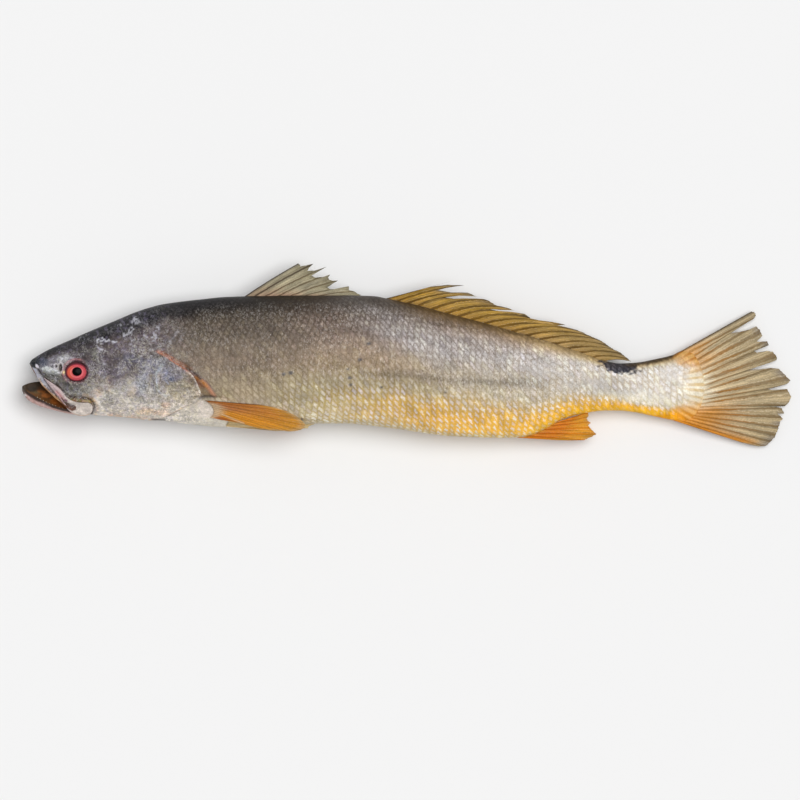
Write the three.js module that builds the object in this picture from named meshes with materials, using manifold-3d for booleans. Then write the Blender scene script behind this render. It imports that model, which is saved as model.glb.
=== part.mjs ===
// Whole raw fish (a sea trout-like drum, weakfish family) lying on its right flank.
// Millimetres. +X runs from the snout to the tail, +Y towards the back (dorsal side), +Z up.
// The fish rests on z = 0, and the finished group is centred over the origin.
import * as THREE from "three";
import { mergeVertices } from "three/addons/utils/BufferGeometryUtils.js";
import Module from "manifold-3d";

// ---- driving dimensions -------------------------------------------------------------
// Outline of head, trunk and tail stalk, without fins: [x, y]
const DORSAL = [[-294.5, -7.4], [-293.2, -4.9], [-289.8, -2.5], [-285.5, 0.2], [-281.6, 2.4], [-272.2, 6.9], [-262.9, 10.9], [-253.5, 15.2], [-239.5, 21.1], [-225.4, 26.9], [-211.4, 32.8], [-202.0, 35.9], [-192.7, 38.4], [-178.6, 40.6], [-159.9, 42.7], [-141.2, 44.5], [-117.8, 45.2], [-83.5, 45.6], [-48.4, 45.6], [-27.3, 45.2], [-10.9, 42.1], [10.9, 37.4], [30.4, 32.0], [56.2, 25.4], [88.9, 15.8], [108.4, 10.1], [134.2, 1.6], [153.7, -5.1], [166.1, -7.3], [178.6, -6.7], [193.4, -4.1], [206.7, -1.0], [216.1, 2.7], [222.3, 1.6], [227.0, -3.9], [230.9, -13.3], [233.2, -26.5]];
const VENTRAL = [[-294.5, -7.4], [-293.2, -10.5], [-289.4, -17.0], [-284.7, -24.9], [-278.5, -31.6], [-270.7, -39.2], [-264.4, -44.9], [-258.2, -47.9], [-245.7, -47.6], [-230.1, -48.6], [-216.1, -49.8], [-200.5, -51.9], [-188.0, -52.6], [-169.3, -54.8], [-150.5, -56.6], [-126.4, -57.6], [-99.1, -56.6], [-71.8, -54.3], [-47.6, -54.2], [-33.5, -55.4], [-5.5, -58.7], [22.6, -63.0], [41.3, -64.4], [72.5, -65.4], [86.6, -65.1], [97.5, -62.8], [108.4, -58.1], [117.8, -52.3], [128.7, -48.2], [141.2, -45.7], [155.2, -44.1], [166.1, -44.2], [178.6, -45.7], [194.2, -49.0], [206.7, -51.5], [216.1, -52.6], [223.9, -49.1], [230.1, -39.8], [233.2, -26.5]];
// Half the thickness of the body, and the height of its middle plane above the table: [x, mm]
const HALF_WIDTH = [[-294.5, 0], [-292.6, 4.2], [-289.4, 7], [-284.7, 10.5], [-278.5, 13.5], [-269.1, 17], [-257.4, 20], [-239.5, 23.8], [-216.1, 26.6], [-192.7, 28], [-169.3, 29], [-145.9, 30.2], [-114.7, 31], [-60.1, 30.4], [-21.1, 29], [17.9, 26.6], [56.9, 23.6], [95.9, 19.8], [127.1, 16.2], [153.7, 13.2], [178.6, 10.6], [197.3, 8.6], [212.9, 6.6], [223.9, 4.6], [230.9, 2.6], [233.2, 0]];
const MID_HEIGHT = [[-301.9, 24.5], [-270.7, 26.5], [-231.7, 28], [-161.5, 28], [-5.5, 27.6], [56.9, 25.5], [103.7, 22], [153.7, 17.2], [197.3, 12.6], [233.2, 9.2], [267.5, 6.0], [302.6, 3.2]];
const BACK_POWER = 1.95, BELLY_POWER = 2.2; // superellipse powers of the section above and below its middle

// Gill cover: front edge and free rear edge, from top to bottom
const GILL_FRONT = [[-202.0, 3.1], [-207.5, -3.1], [-210.6, -10.1], [-212.2, -17.9], [-212.2, -25.7], [-210.6, -32.8], [-208.3, -39.0], [-205.9, -43.7], [-204.4, -46.4], [-202.8, -48.8], [-201.6, -50.3], [-200.5, -51.2]];
const GILL_REAR = [[-200.5, 3.5], [-192.7, 0.8], [-181.0, -5.9], [-171.6, -12.1], [-165.4, -18.7], [-161.8, -26.5], [-159.9, -33.5], [-165.4, -37.8], [-173.2, -41.7], [-181.7, -46.0], [-190.3, -49.5], [-198.9, -51.1]];
// Upper jaw bone (maxilla): upper and lower edge, from the snout to its broad rear end
const MAXILLA_UPPER = [[-283.1, -18.3], [-280, -20.4], [-276.9, -22.3], [-273, -25], [-269.9, -27.7], [-267.5, -30.4], [-265.6, -33.1], [-262.9, -35.1], [-258.2, -37], [-252.7, -37.8], [-248, -37.9], [-245.7, -39.2], [-244.8, -41.7]];
const MAXILLA_LOWER = [[-282.8, -19.5], [-280, -23.4], [-277.3, -27.3], [-274.6, -31.2], [-271.8, -34.7], [-269.1, -37.8], [-266, -41.3], [-262.9, -44.6], [-259, -47.1], [-254.3, -48.3], [-249.6, -47.8], [-246.5, -46.4], [-245, -44.1]];
// Lower jaw stations: [x, y of left rim, y of right rim, y of chin, half width]. The jaw hangs open and is rolled a little to the left.
const JAW = [[-300.3, -26.9, -25.7, -28.5, 1.2], [-298.7, -27.9, -24.6, -32.4, 3.4], [-295.6, -30.0, -23.3, -35.9, 5.6], [-290.9, -32.9, -22.2, -38.8, 7.4], [-284.7, -36.3, -21.8, -41.3, 8.8], [-276.9, -39.9, -23.6, -43.5, 9.8], [-269.1, -42.6, -26.9, -45.4, 10.4], [-261.3, -44.5, -31.2, -47.0, 10.8], [-253.5, -45.6, -35.9, -47.6, 11.0]];
const JAW_WALL = 1.8, PALATE_RISE = 5;
const EYE = { x: -257.2, y: -13.9, rx: 9.2, ry: 8.4, rz: 6.0, stands: 2.3 };

// Fins, one row for each ray: [base x, y, tip x, y, then the membrane notch behind it x, y]
const DORSAL_1 = [[-126.4, 44.9, -84.0, 70.7, -81.5, 67.9], [-119.3, 44.5, -73.0, 70.4, -77.2, 65.1], [-110.8, 44.5, -62.7, 67.9, -73.5, 60.7], [-101.4, 44.5, -59.1, 62.0, -59.7, 58.5], [-92.0, 44.5, -53.7, 57.5, -61.4, 51.8], [-81.9, 44.5, -45.2, 52.6, -44.9, 50.1], [-71.0, 44.5, -38.8, 48.8, -40.9, 47.1], [-58.5, 44.5, -35.5, 47.2, -35.9, 46.3]];
const DORSAL_2 = [[-16.4, 43.3, 37.8, 57.5, 22.6, 51.3], [-8.6, 40.6, 45.6, 53.6, 25.7, 49.3], [-0.8, 38.6, 55.4, 45.5, 30.4, 44.5], [8.6, 36.3, 68.6, 39.0, 56.9, 38.6], [18.7, 33.5, 79.6, 35.6, 67.9, 34.3], [28.9, 30.4, 85.8, 33.7, 78.8, 32.1], [39.0, 27.7, 96.7, 29.8, 89.7, 28.7], [49.1, 25.4, 104.5, 27.8, 98.3, 26.1], [59.3, 22.6, 113.9, 25.5, 107.6, 24.0], [70.2, 19.5, 125.1, 22.8, 116.2, 21.7], [81.1, 16.4, 132.6, 19.5, 125.6, 17.9], [92.0, 13.3, 141.2, 14.8, 134.2, 13.9], [103.0, 10.1, 149.8, 11.5, 143.5, 10.3], [113.9, 7.0, 157.6, 8.4, 152.1, 7.0], [124.0, 3.1, 163.0, 4.7, 158.3, 3.4], [134.2, 0.0, 167.3, 1.4, 163.8, 0.0], [143.5, -3.5, 171.2, -2.6, 168.5, -3.6], [152.9, -6.6, 175.1, -6.1]];
const ANAL = [[88.9, -65.5, 116.2, -66.8, 119.3, -66.5], [95.9, -64.0, 132.6, -67.1, 133.4, -66.1], [102.2, -61.8, 142.3, -65.8, 140.4, -64.0], [108.4, -59.0, 147.4, -62.8, 144.3, -60.5], [113.9, -55.8, 148.0, -58.5, 142.3, -56.6], [119.3, -53.0, 143.1, -55.0, 141.5, -53.5], [125.6, -50.4, 143.4, -51.6, 140.8, -49.9], [132.6, -48.4, 142.3, -47.3]];
const PECTORAL = [[-156.0, -36.3, -113.1, -39.3, -111.5, -40.2], [-154.1, -37.3, -95.9, -43.4, -95.5, -44.5], [-152.5, -38.6, -87.0, -48.5, -88.1, -49.1], [-151.3, -40.0, -81.9, -53.4, -83.9, -53.4], [-150.3, -41.5, -80.8, -56.5, -83.1, -56.2], [-149.4, -43.1, -83.5, -58.8, -86.6, -58.5], [-149.0, -44.6, -91.3, -60.4, -94.4, -59.7], [-149.0, -46.2, -102.2, -59.4, -105.3, -58.8], [-149.4, -47.6, -113.1, -57.6, -117.0, -56.6], [-150.4, -48.8, -123.2, -55.5, -127.9, -54.3], [-151.8, -49.9, -135.7, -53.0]];
const PELVIC = [[-136.5, -50.7, -94.4, -55.0, -92.0, -55.4], [-137.3, -52.3, -81.9, -54.8, -81.9, -55.4], [-138.1, -53.5, -71.4, -54.4, -76.4, -56.2], [-138.8, -54.6, -77.2, -57.9, -81.9, -58.2], [-139.3, -55.7, -86.6, -59.9, -91.3, -59.7], [-139.6, -56.6, -102.2, -60.1]];
const TAIL = [[215.3, 3.1, 271.8, 31.8, 266.3, 25.4], [219.2, 0.8, 256.6, 19.1, 253.1, 16.9], [222.3, -2.3, 273.0, 21.4, 273.0, 18.7], [225.0, -5.5, 277.7, 16.7, 273.8, 11.3], [227.4, -9.0, 276.9, 8.4, 273.0, 5.3], [229.3, -12.5, 282.7, 7.3, 271.8, 2.8], [230.9, -16.4, 286.7, 1.4, 280.0, -2.3], [232.1, -20.3, 289.6, -2.3, 267.9, -11.5], [232.8, -24.2, 288.6, -11.5, 290.2, -13.3], [233.2, -28.1, 299.1, -19.0, 295.6, -22.2], [233.1, -32.0, 285.9, -25.6, 277.4, -27.5], [232.4, -35.5, 297.2, -28.4, 297.2, -31.2], [231.5, -38.6, 300.5, -33.9, 292.5, -37.9], [230.1, -41.3, 296.0, -39.9, 277.7, -41.5], [228.5, -43.7, 289.4, -42.4, 290.2, -44.5], [226.6, -46.0, 295.0, -46.5, 288.6, -47.4], [224.2, -48.0, 293.6, -50.7, 291.3, -54.6], [221.9, -49.5, 289.8, -60.8, 287.0, -64.0], [219.2, -51.1, 283.1, -70.2, 278.5, -70.5], [216.1, -52.6, 269.1, -70.0, 263.6, -69.4], [212.9, -53.4, 245.7, -62.6]];
const FIN_BASE = 1.5, FIN_EDGE = 0.9; // fin thickness at its base and at its outer edge
const GAP = 0.35; // between neighbouring pieces

// ---- curves -------------------------------------------------------------------------
// Smooth value at x through a table of [x, value] rows (cubic Hermite, no overshoot).
function along(table, x) {
  const n = table.length;
  if (x <= table[0][0]) return table[0][1];
  if (x >= table[n - 1][0]) return table[n - 1][1];
  let i = 0;
  while (table[i + 1][0] < x) i++;
  const slope = (k) => (table[k + 1][1] - table[k][1]) / (table[k + 1][0] - table[k][0]);
  const tangent = (k) => {
    if (k === 0) return slope(0);
    if (k === n - 1) return slope(n - 2);
    const a = slope(k - 1), b = slope(k);
    return a * b <= 0 ? 0 : (2 * a * b) / (a + b);
  };
  const h = table[i + 1][0] - table[i][0], t = (x - table[i][0]) / h;
  const a = 2 * t ** 3 - 3 * t ** 2 + 1, b = t ** 3 - 2 * t ** 2 + t, c = -2 * t ** 3 + 3 * t ** 2, d = t ** 3 - t ** 2;
  return a * table[i][1] + b * h * tangent(i) + c * table[i + 1][1] + d * h * tangent(i + 1);
}
const clamp = (v, lo, hi) => Math.min(hi, Math.max(lo, v));
const section = (x) => {
  const top = along(DORSAL, x), bottom = along(VENTRAL, x);
  return { yc: (top + bottom) / 2, a: (top - bottom) / 2, w: along(HALF_WIDTH, x), zc: along(MID_HEIGHT, x) };
};
// Share of the half width at a height h from -1 (belly) to 1 (back)
const bulge = (h) => {
  const n = h > 0 ? BACK_POWER : BELLY_POWER;
  return (1 - Math.min(1, Math.abs(h)) ** n) ** (1 / n);
};
// Height of the skin over (x, y): side 1 is the left flank, on top, and -1 the right flank, on the table.
function skin(x, y, side, flatten = 1) {
  const s = section(x);
  const h = clamp(((y - s.yc) / Math.max(s.a, 0.01)) * flatten, -0.96, 0.96);
  return side > 0 ? s.zc + s.w * bulge(h) : Math.max(s.zc - s.w * bulge(h), 0);
}

// ---- closed geometries --------------------------------------------------------------
// Makes the faces of a closed mesh point out.
function faceOut(geometry) {
  const p = geometry.attributes.position, ix = geometry.index.array;
  let volume = 0;
  const a = new THREE.Vector3(), b = new THREE.Vector3(), c = new THREE.Vector3();
  for (let i = 0; i < ix.length; i += 3) {
    a.fromBufferAttribute(p, ix[i]); b.fromBufferAttribute(p, ix[i + 1]); c.fromBufferAttribute(p, ix[i + 2]);
    volume += a.dot(b.cross(c));
  }
  if (volume < 0) for (let i = 0; i < ix.length; i += 3) [ix[i + 1], ix[i + 2]] = [ix[i + 2], ix[i + 1]];
  geometry.computeVertexNormals();
  return geometry;
}
// The body is a sphere's own mesh, with its poles at the snout and the tail stalk's end, drawn out over the sections.
function bodyGeometry(grow, around, stations) {
  const g = new THREE.SphereGeometry(1, around, stations);
  g.deleteAttribute("normal");
  g.deleteAttribute("uv");
  const p = g.attributes.position, x0 = DORSAL[0][0], length = DORSAL.at(-1)[0] - x0;
  for (let i = 0; i < p.count; i++) {
    const polar = Math.acos(clamp(p.getY(i), -1, 1)) / Math.PI;
    const turn = Math.atan2(p.getZ(i), p.getX(i));
    const t = 0.45 * polar + 0.55 * (1 - Math.cos(Math.PI * polar)) / 2;
    const x = x0 + length * t, s = section(x), ends = polar < 1e-4 || polar > 1 - 1e-4 ? 0 : 1;
    const up = Math.cos(turn), out = Math.sin(turn), n = up > 0 ? BACK_POWER : BELLY_POWER;
    const r = 1 / (Math.abs(up) ** n + Math.abs(out) ** n) ** (1 / n);
    const y = s.yc + ends * (s.a + grow) * up * r;
    let z = s.zc + ends * (s.w + grow) * out * r;
    z = Math.max(z, -grow);
    p.setXYZ(i, x + (polar < 1e-4 ? -grow : polar > 1 - 1e-4 ? grow : 0), y, z);
  }
  return faceOut(mergeVertices(g, 1e-4));
}
// A closed sheet between two edge lines with equally many points. zTop and zBottom give its faces' heights.
function sheet(edgeA, edgeB, across, zTop, zBottom, bend = 0) {
  const n = edgeA.length, m = across + 1, position = [], index = [];
  for (const z of [zTop, zBottom])
    for (let i = 0; i < n; i++)
      for (let j = 0; j < m; j++) {
        const v = j / across, sag = bend * v * (1 - v);
        const x = edgeA[i][0] + (edgeB[i][0] - edgeA[i][0]) * v - sag * (edgeB[i][1] - edgeA[i][1]);
        const y = edgeA[i][1] + (edgeB[i][1] - edgeA[i][1]) * v + sag * (edgeB[i][0] - edgeA[i][0]);
        position.push(x, y, z(x, y, v, i / (n - 1)));
      }
  const id = (k, i, j) => k * n * m + i * m + j;
  const quad = (a, b, c, d) => index.push(a, b, c, a, c, d);
  for (let i = 0; i < n - 1; i++)
    for (let j = 0; j < m - 1; j++) {
      quad(id(0, i, j), id(0, i + 1, j), id(0, i + 1, j + 1), id(0, i, j + 1));
      quad(id(1, i, j), id(1, i, j + 1), id(1, i + 1, j + 1), id(1, i + 1, j));
    }
  for (let i = 0; i < n - 1; i++) {
    quad(id(0, i, 0), id(1, i, 0), id(1, i + 1, 0), id(0, i + 1, 0));
    quad(id(0, i, m - 1), id(0, i + 1, m - 1), id(1, i + 1, m - 1), id(1, i, m - 1));
  }
  for (let j = 0; j < m - 1; j++) {
    quad(id(0, 0, j), id(0, 0, j + 1), id(1, 0, j + 1), id(1, 0, j));
    quad(id(0, n - 1, j), id(1, n - 1, j), id(1, n - 1, j + 1), id(0, n - 1, j + 1));
  }
  const g = new THREE.BufferGeometry();
  g.setAttribute("position", new THREE.Float32BufferAttribute(position, 3));
  g.setIndex(index);
  return faceOut(g);
}
// A closed skin through rings of equally many points, with a fan over each end.
function loft(rings) {
  const n = rings[0].length, position = rings.flat(2), index = [];
  for (let k = 0; k < rings.length - 1; k++)
    for (let i = 0; i < n; i++) {
      const j = (i + 1) % n, a = k * n + i, b = k * n + j, c = a + n, d = b + n;
      index.push(a, b, d, a, d, c);
    }
  for (const [k, flip] of [[0, 1], [rings.length - 1, 0]]) {
    const shape = rings[k].map((q) => new THREE.Vector2(q[1], q[2]));
    for (const [a, b, c] of THREE.ShapeUtils.triangulateShape(shape, [])) {
      const area = (shape[b].x - shape[a].x) * (shape[c].y - shape[a].y) - (shape[c].x - shape[a].x) * (shape[b].y - shape[a].y);
      const contour = THREE.ShapeUtils.area(shape);
      const t = area * contour > 0 ? [a, b, c] : [a, c, b];
      index.push(...(flip ? [t[0], t[2], t[1]] : t).map((q) => q + k * n));
    }
  }
  const g = new THREE.BufferGeometry();
  g.setAttribute("position", new THREE.Float32BufferAttribute(position, 3));
  g.setIndex(index);
  return faceOut(g);
}

// ---- joining and cutting ------------------------------------------------------------
const wasm = await Module();
wasm.setup();
function solid(geometry) {
  const g = geometry.clone();
  g.deleteAttribute("normal");
  if (g.attributes.uv) g.deleteAttribute("uv");
  const m = mergeVertices(g, 1e-4);
  return new wasm.Manifold(new wasm.Mesh({ numProp: 3, vertProperties: m.attributes.position.array, triVerts: new Uint32Array(m.index.array) }));
}
function geometryOf(manifold) {
  // Small slivers left by a cut are dropped: only the largest piece is the part.
  const main = manifold.decompose().sort((a, b) => b.volume() - a.volume())[0], mesh = main.getMesh();
  const g = new THREE.BufferGeometry();
  g.setAttribute("position", new THREE.BufferAttribute(new Float32Array(mesh.vertProperties), 3));
  g.setIndex(new THREE.BufferAttribute(new Uint32Array(mesh.triVerts), 1));
  g.computeVertexNormals();
  return g;
}

// ---- head pieces --------------------------------------------------------------------
// Eyeball: a flattened sphere standing a little out of its socket.
function eyeBall(side, grow) {
  const g = new THREE.SphereGeometry(1, 22, 14);
  g.scale(EYE.rx + grow, EYE.ry + grow, EYE.rz + grow);
  const s = section(EYE.x), z = s.zc + side * s.w * bulge((EYE.y - s.yc) / s.a);
  g.translate(EYE.x, EYE.y, z - side * (EYE.rz - EYE.stands));
  return g;
}
// How far the scoop hangs under its rims, so that its lowest point is the chin line.
function jawDepth(left, right, chin) {
  const mid = (left + right) / 2, half = (left - right) / 2;
  let lo = 0, hi = 40;
  for (let k = 0; k < 40; k++) {
    const depth = (lo + hi) / 2;
    let low = 1e9;
    for (let i = 0; i <= 80; i++) {
      const s = -1 + i / 40;
      low = Math.min(low, mid + half * s - depth * (1 - Math.abs(s) ** 2.4));
    }
    if (low > chin) lo = depth;
    else hi = depth;
  }
  return Math.max((lo + hi) / 2, 0.6);
}
// Lower jaw: a scoop, U-shaped in section, closed at the chin. filled gives the whole mouth instead, up to the palate.
function jawGeometry(grow, filled) {
  const rings = JAW.map(([x, left, right, chin, w], k) => {
    const zc = along(MID_HEIGHT, x), wall = Math.min(JAW_WALL, w * 0.55), ring = [], turns = 12;
    const cup = (s, half, drop) => [x + (k === 0 ? -grow : k === JAW.length - 1 ? grow : 0),
      (left + right) / 2 + (s * (left - right)) / 2 - drop * (1 - Math.abs(s) ** 2.4) - 0, zc + s * half];
    const depth = jawDepth(left, right, chin);
    for (let i = 0; i <= turns; i++) {
      const s = -1 + (2 * i) / turns, q = cup(s, w + grow, depth + grow);
      ring.push(filled ? [q[0], q[1] + (Math.abs(s) === 1 ? grow : 0), q[2]] : q);
    }
    for (let i = 0; i <= turns; i++) {
      const s = 1 - (2 * i) / turns;
      if (filled) {
        if (Math.abs(s) === 1) continue;
        const q = cup(s, w + grow, 0);
        ring.push([q[0], q[1] + grow + PALATE_RISE * (1 - s * s) * Math.min(1, k / 3), q[2]]);
      } else ring.push(cup(s, w - wall, Math.max(depth - wall, 0.25 * depth)));
    }
    return ring;
  });
  return loft(rings);
}
function maxillaGeometry(side) {
  const mid = (x, y) => {
    const s = section(x), h = clamp((y - s.yc) / s.a, -0.8, 0.8);
    return s.zc + side * (s.w * bulge(h) + 1.1);
  };
  const half = (v) => 0.75;
  return sheet(MAXILLA_UPPER, MAXILLA_LOWER, 3, (x, y, v) => mid(x, y) + half(v), (x, y, v) => mid(x, y) - half(v));
}
// Gill cover plate: flush at its front edge and proud at its free rear edge. The recess is the room it lies in.
function gillGeometry(side, recess) {
  const c = new THREE.Vector2();
  [...GILL_FRONT, ...GILL_REAR].forEach((q) => c.add(new THREE.Vector2(...q)));
  c.divideScalar(GILL_FRONT.length + GILL_REAR.length);
  const k = recess ? 1.03 : 1, wide = (e) => e.map(([x, y]) => [c.x + (x - c.x) * k, c.y + (y - c.y) * k]);
  const outer = (x, y, v) => {
    const z = skin(x, y, side);
    if (recess) return side > 0 ? z + 8 : -8;
    return side > 0 ? z + 0.1 + 0.9 * v : Math.max(z - 0.1 - 0.9 * v, 0.1);
  };
  const inner = (x, y, v) => skin(x, y, side) - side * (recess ? 1.75 : 1.35);
  return sheet(wide(GILL_FRONT), wide(GILL_REAR), 6, side > 0 ? outer : inner, side > 0 ? inner : outer);
}

// ---- fins ---------------------------------------------------------------------------
// Edge lines of a fin: along the body, and along the ray tips and membrane notches.
function finEdges(rays, sink = 0) {
  const base = [], edge = [];
  rays.forEach((r, i) => {
    const length = Math.hypot(r[2] - r[0], r[3] - r[1]), q = sink / length;
    base.push([r[0] - (r[2] - r[0]) * q, r[1] - (r[3] - r[1]) * q]);
    edge.push([r[2], r[3]]);
    if (i < rays.length - 1) {
      const b = [(r[0] + rays[i + 1][0]) / 2, (r[1] + rays[i + 1][1]) / 2];
      const l = Math.hypot(r[4] - b[0], r[5] - b[1]);
      base.push([b[0] - ((r[4] - b[0]) * sink) / l, b[1] - ((r[5] - b[1]) * sink) / l]);
      edge.push([r[4], r[5]]);
    }
  });
  return [base, edge];
}
function finGeometry(rays, height, { across = 3, sink = 2, bend = 0 } = {}) {
  const [base, edge] = finEdges(rays, sink);
  const half = (v) => (FIN_BASE + (FIN_EDGE - FIN_BASE) * v) / 2;
  return sheet(base, edge, across, (x, y, v, u) => height(x, y, v, u) + half(v), (x, y, v, u) => height(x, y, v, u) - half(v), bend);
}
const upright = (droop) => (x, y, v) => along(MID_HEIGHT, x) - droop * v * v;
const onTable = (x, y, v, u) => Math.max(along(MID_HEIGHT, x) + 0.5 * Math.sin(u * 19) * v, 0.95);
// Paired fins lie back along the flank, easing away from the skin towards their tips.
const alongFlank = (side, ease, off) => (x, y, v) => {
  const s = section(x), h = clamp(((y - s.yc) / s.a) * (1 - ease * Math.min(1, 1.6 * v)), -0.97, 0.97);
  const z = s.zc + side * (s.w * bulge(h) + off);
  return side > 0 ? z : Math.max(z, 1.0);
};

// ---- the fish -----------------------------------------------------------------------
const skinPaint = (color, roughness = 0.45) => new THREE.MeshStandardMaterial({ color, roughness, metalness: 0 });
const fish = new THREE.Group();
function add(name, geometry, material) {
  const mesh = new THREE.Mesh(geometry, material);
  mesh.name = name;
  fish.add(mesh);
}

const bodyRoom = solid(bodyGeometry(GAP, 36, 60)); // the body grown by the gap: what a neighbour is cut back to
let body = solid(bodyGeometry(0, 36, 60)).subtract(solid(jawGeometry(0.45, true)));
for (const side of [1, -1])
  body = body.subtract(solid(eyeBall(side, 0.3))).subtract(solid(gillGeometry(side, true)));
add("body", geometryOf(body), skinPaint(0x9a8a76));
add("lower_jaw", jawGeometry(0, false), skinPaint(0x6b4a36));
for (const [side, name] of [[1, "left"], [-1, "right"]]) {
  add(name + "_eye", mergeVertices(eyeBall(side, 0)), skinPaint(0xc8504e, 0.1));
  add(name + "_maxilla", geometryOf(solid(maxillaGeometry(side)).subtract(bodyRoom).subtract(solid(jawGeometry(GAP, true)))), skinPaint(0xc9b3a6));
  // The cover is trimmed where the recess under it runs too shallow, near the throat and the nape.
  const trim = [0, 0.3].reduce((m, lift) => m.subtract(body.translate([0, 0, side * lift])), solid(gillGeometry(side, false)));
  add(name + "_gill_cover", geometryOf(trim), skinPaint(0x9c9690, 0.35));
  add(name + "_pectoral_fin", geometryOf(solid(finGeometry(PECTORAL, alongFlank(side, 0.14, 1.5), { across: 4, sink: 1 })).subtract(bodyRoom)), skinPaint(0xcf8f3e));
  add(name + "_pelvic_fin", geometryOf(solid(finGeometry(PELVIC, alongFlank(side, 0.05, 0.9), { across: 4, sink: 1 })).subtract(bodyRoom)), skinPaint(0xb08a4a));
}
add("first_dorsal_fin", geometryOf(solid(finGeometry(DORSAL_1, upright(3))).subtract(bodyRoom)), skinPaint(0xa39471));
add("second_dorsal_fin", geometryOf(solid(finGeometry(DORSAL_2, upright(2.5))).subtract(bodyRoom)), skinPaint(0x9d7430));
add("anal_fin", geometryOf(solid(finGeometry(ANAL, upright(2))).subtract(bodyRoom)), skinPaint(0xe0912a));
add("tail_fin", geometryOf(solid(finGeometry(TAIL, onTable, { across: 4, sink: 3 })).subtract(bodyRoom)), skinPaint(0xa98c58));

const box = new THREE.Box3().setFromObject(fish, true), centre = box.getCenter(new THREE.Vector3());
fish.position.set(-centre.x, -centre.y, -box.min.z);

export default fish;
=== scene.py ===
import bpy, math
import numpy as np
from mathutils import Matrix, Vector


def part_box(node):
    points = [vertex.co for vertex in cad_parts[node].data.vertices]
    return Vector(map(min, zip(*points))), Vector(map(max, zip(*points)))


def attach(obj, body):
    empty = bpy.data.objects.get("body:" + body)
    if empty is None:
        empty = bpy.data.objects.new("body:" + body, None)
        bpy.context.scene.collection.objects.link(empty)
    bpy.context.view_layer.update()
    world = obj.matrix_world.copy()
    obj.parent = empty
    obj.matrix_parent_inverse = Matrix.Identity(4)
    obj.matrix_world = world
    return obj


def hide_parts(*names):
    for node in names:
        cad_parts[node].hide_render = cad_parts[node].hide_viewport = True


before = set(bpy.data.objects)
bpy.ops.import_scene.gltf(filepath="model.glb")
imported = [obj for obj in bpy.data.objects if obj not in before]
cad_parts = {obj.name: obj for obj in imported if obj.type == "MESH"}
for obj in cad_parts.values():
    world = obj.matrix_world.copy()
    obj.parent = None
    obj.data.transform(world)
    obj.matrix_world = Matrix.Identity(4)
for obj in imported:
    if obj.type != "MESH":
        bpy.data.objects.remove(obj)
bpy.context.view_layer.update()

# ------------------------------------------------------------------------------ measures (mm), as in the CAD source
DORSAL = [[-294.5,-7.4],[-293.2,-4.9],[-289.8,-2.5],[-285.5,0.2],[-281.6,2.4],[-272.2,6.9],[-262.9,10.9],[-253.5,15.2],[-239.5,21.1],[-225.4,26.9],[-211.4,32.8],[-202.0,35.9],[-192.7,38.4],[-178.6,40.6],[-159.9,42.7],[-141.2,44.5],[-117.8,45.2],[-83.5,45.6],[-48.4,45.6],[-27.3,45.2],[-10.9,42.1],[10.9,37.4],[30.4,32.0],[56.2,25.4],[88.9,15.8],[108.4,10.1],[134.2,1.6],[153.7,-5.1],[166.1,-7.3],[178.6,-6.7],[193.4,-4.1],[206.7,-1.0],[216.1,2.7],[222.3,1.6],[227.0,-3.9],[230.9,-13.3],[233.2,-26.5]]
VENTRAL = [[-294.5,-7.4],[-293.2,-10.5],[-289.4,-17.0],[-284.7,-24.9],[-278.5,-31.6],[-270.7,-39.2],[-264.4,-44.9],[-258.2,-47.9],[-245.7,-47.6],[-230.1,-48.6],[-216.1,-49.8],[-200.5,-51.9],[-188.0,-52.6],[-169.3,-54.8],[-150.5,-56.6],[-126.4,-57.6],[-99.1,-56.6],[-71.8,-54.3],[-47.6,-54.2],[-33.5,-55.4],[-5.5,-58.7],[22.6,-63.0],[41.3,-64.4],[72.5,-65.4],[86.6,-65.1],[97.5,-62.8],[108.4,-58.1],[117.8,-52.3],[128.7,-48.2],[141.2,-45.7],[155.2,-44.1],[166.1,-44.2],[178.6,-45.7],[194.2,-49.0],[206.7,-51.5],[216.1,-52.6],[223.9,-49.1],[230.1,-39.8],[233.2,-26.5]]
HALF_WIDTH = [[-294.5,0],[-292.6,4.2],[-289.4,7],[-284.7,10.5],[-278.5,13.5],[-269.1,17],[-257.4,20],[-239.5,23.8],[-216.1,26.6],[-192.7,28],[-169.3,29],[-145.9,30.2],[-114.7,31],[-60.1,30.4],[-21.1,29],[17.9,26.6],[56.9,23.6],[95.9,19.8],[127.1,16.2],[153.7,13.2],[178.6,10.6],[197.3,8.6],[212.9,6.6],[223.9,4.6],[230.9,2.6],[233.2,0]]
MID_HEIGHT = [[-301.9,24.5],[-270.7,26.5],[-231.7,28],[-161.5,28],[-5.5,27.6],[56.9,25.5],[103.7,22],[153.7,17.2],[197.3,12.6],[233.2,9.2],[267.5,6.0],[302.6,3.2]]
BACK_POWER, BELLY_POWER = 1.95, 2.2
GILL_FRONT = [[-202.0,3.1],[-207.5,-3.1],[-210.6,-10.1],[-212.2,-17.9],[-212.2,-25.7],[-210.6,-32.8],[-208.3,-39.0],[-205.9,-43.7],[-204.4,-46.4],[-202.8,-48.8],[-201.6,-50.3],[-200.5,-51.2]]
GILL_REAR = [[-200.5,3.5],[-192.7,0.8],[-181.0,-5.9],[-171.6,-12.1],[-165.4,-18.7],[-161.8,-26.5],[-159.9,-33.5],[-165.4,-37.8],[-173.2,-41.7],[-181.7,-46.0],[-190.3,-49.5],[-198.9,-51.1]]
MAX_UP = [[-283.1,-18.3],[-280,-20.4],[-276.9,-22.3],[-273,-25],[-269.9,-27.7],[-267.5,-30.4],[-265.6,-33.1],[-262.9,-35.1],[-258.2,-37],[-252.7,-37.8],[-248,-37.9],[-245.7,-39.2],[-244.8,-41.7]]
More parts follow.
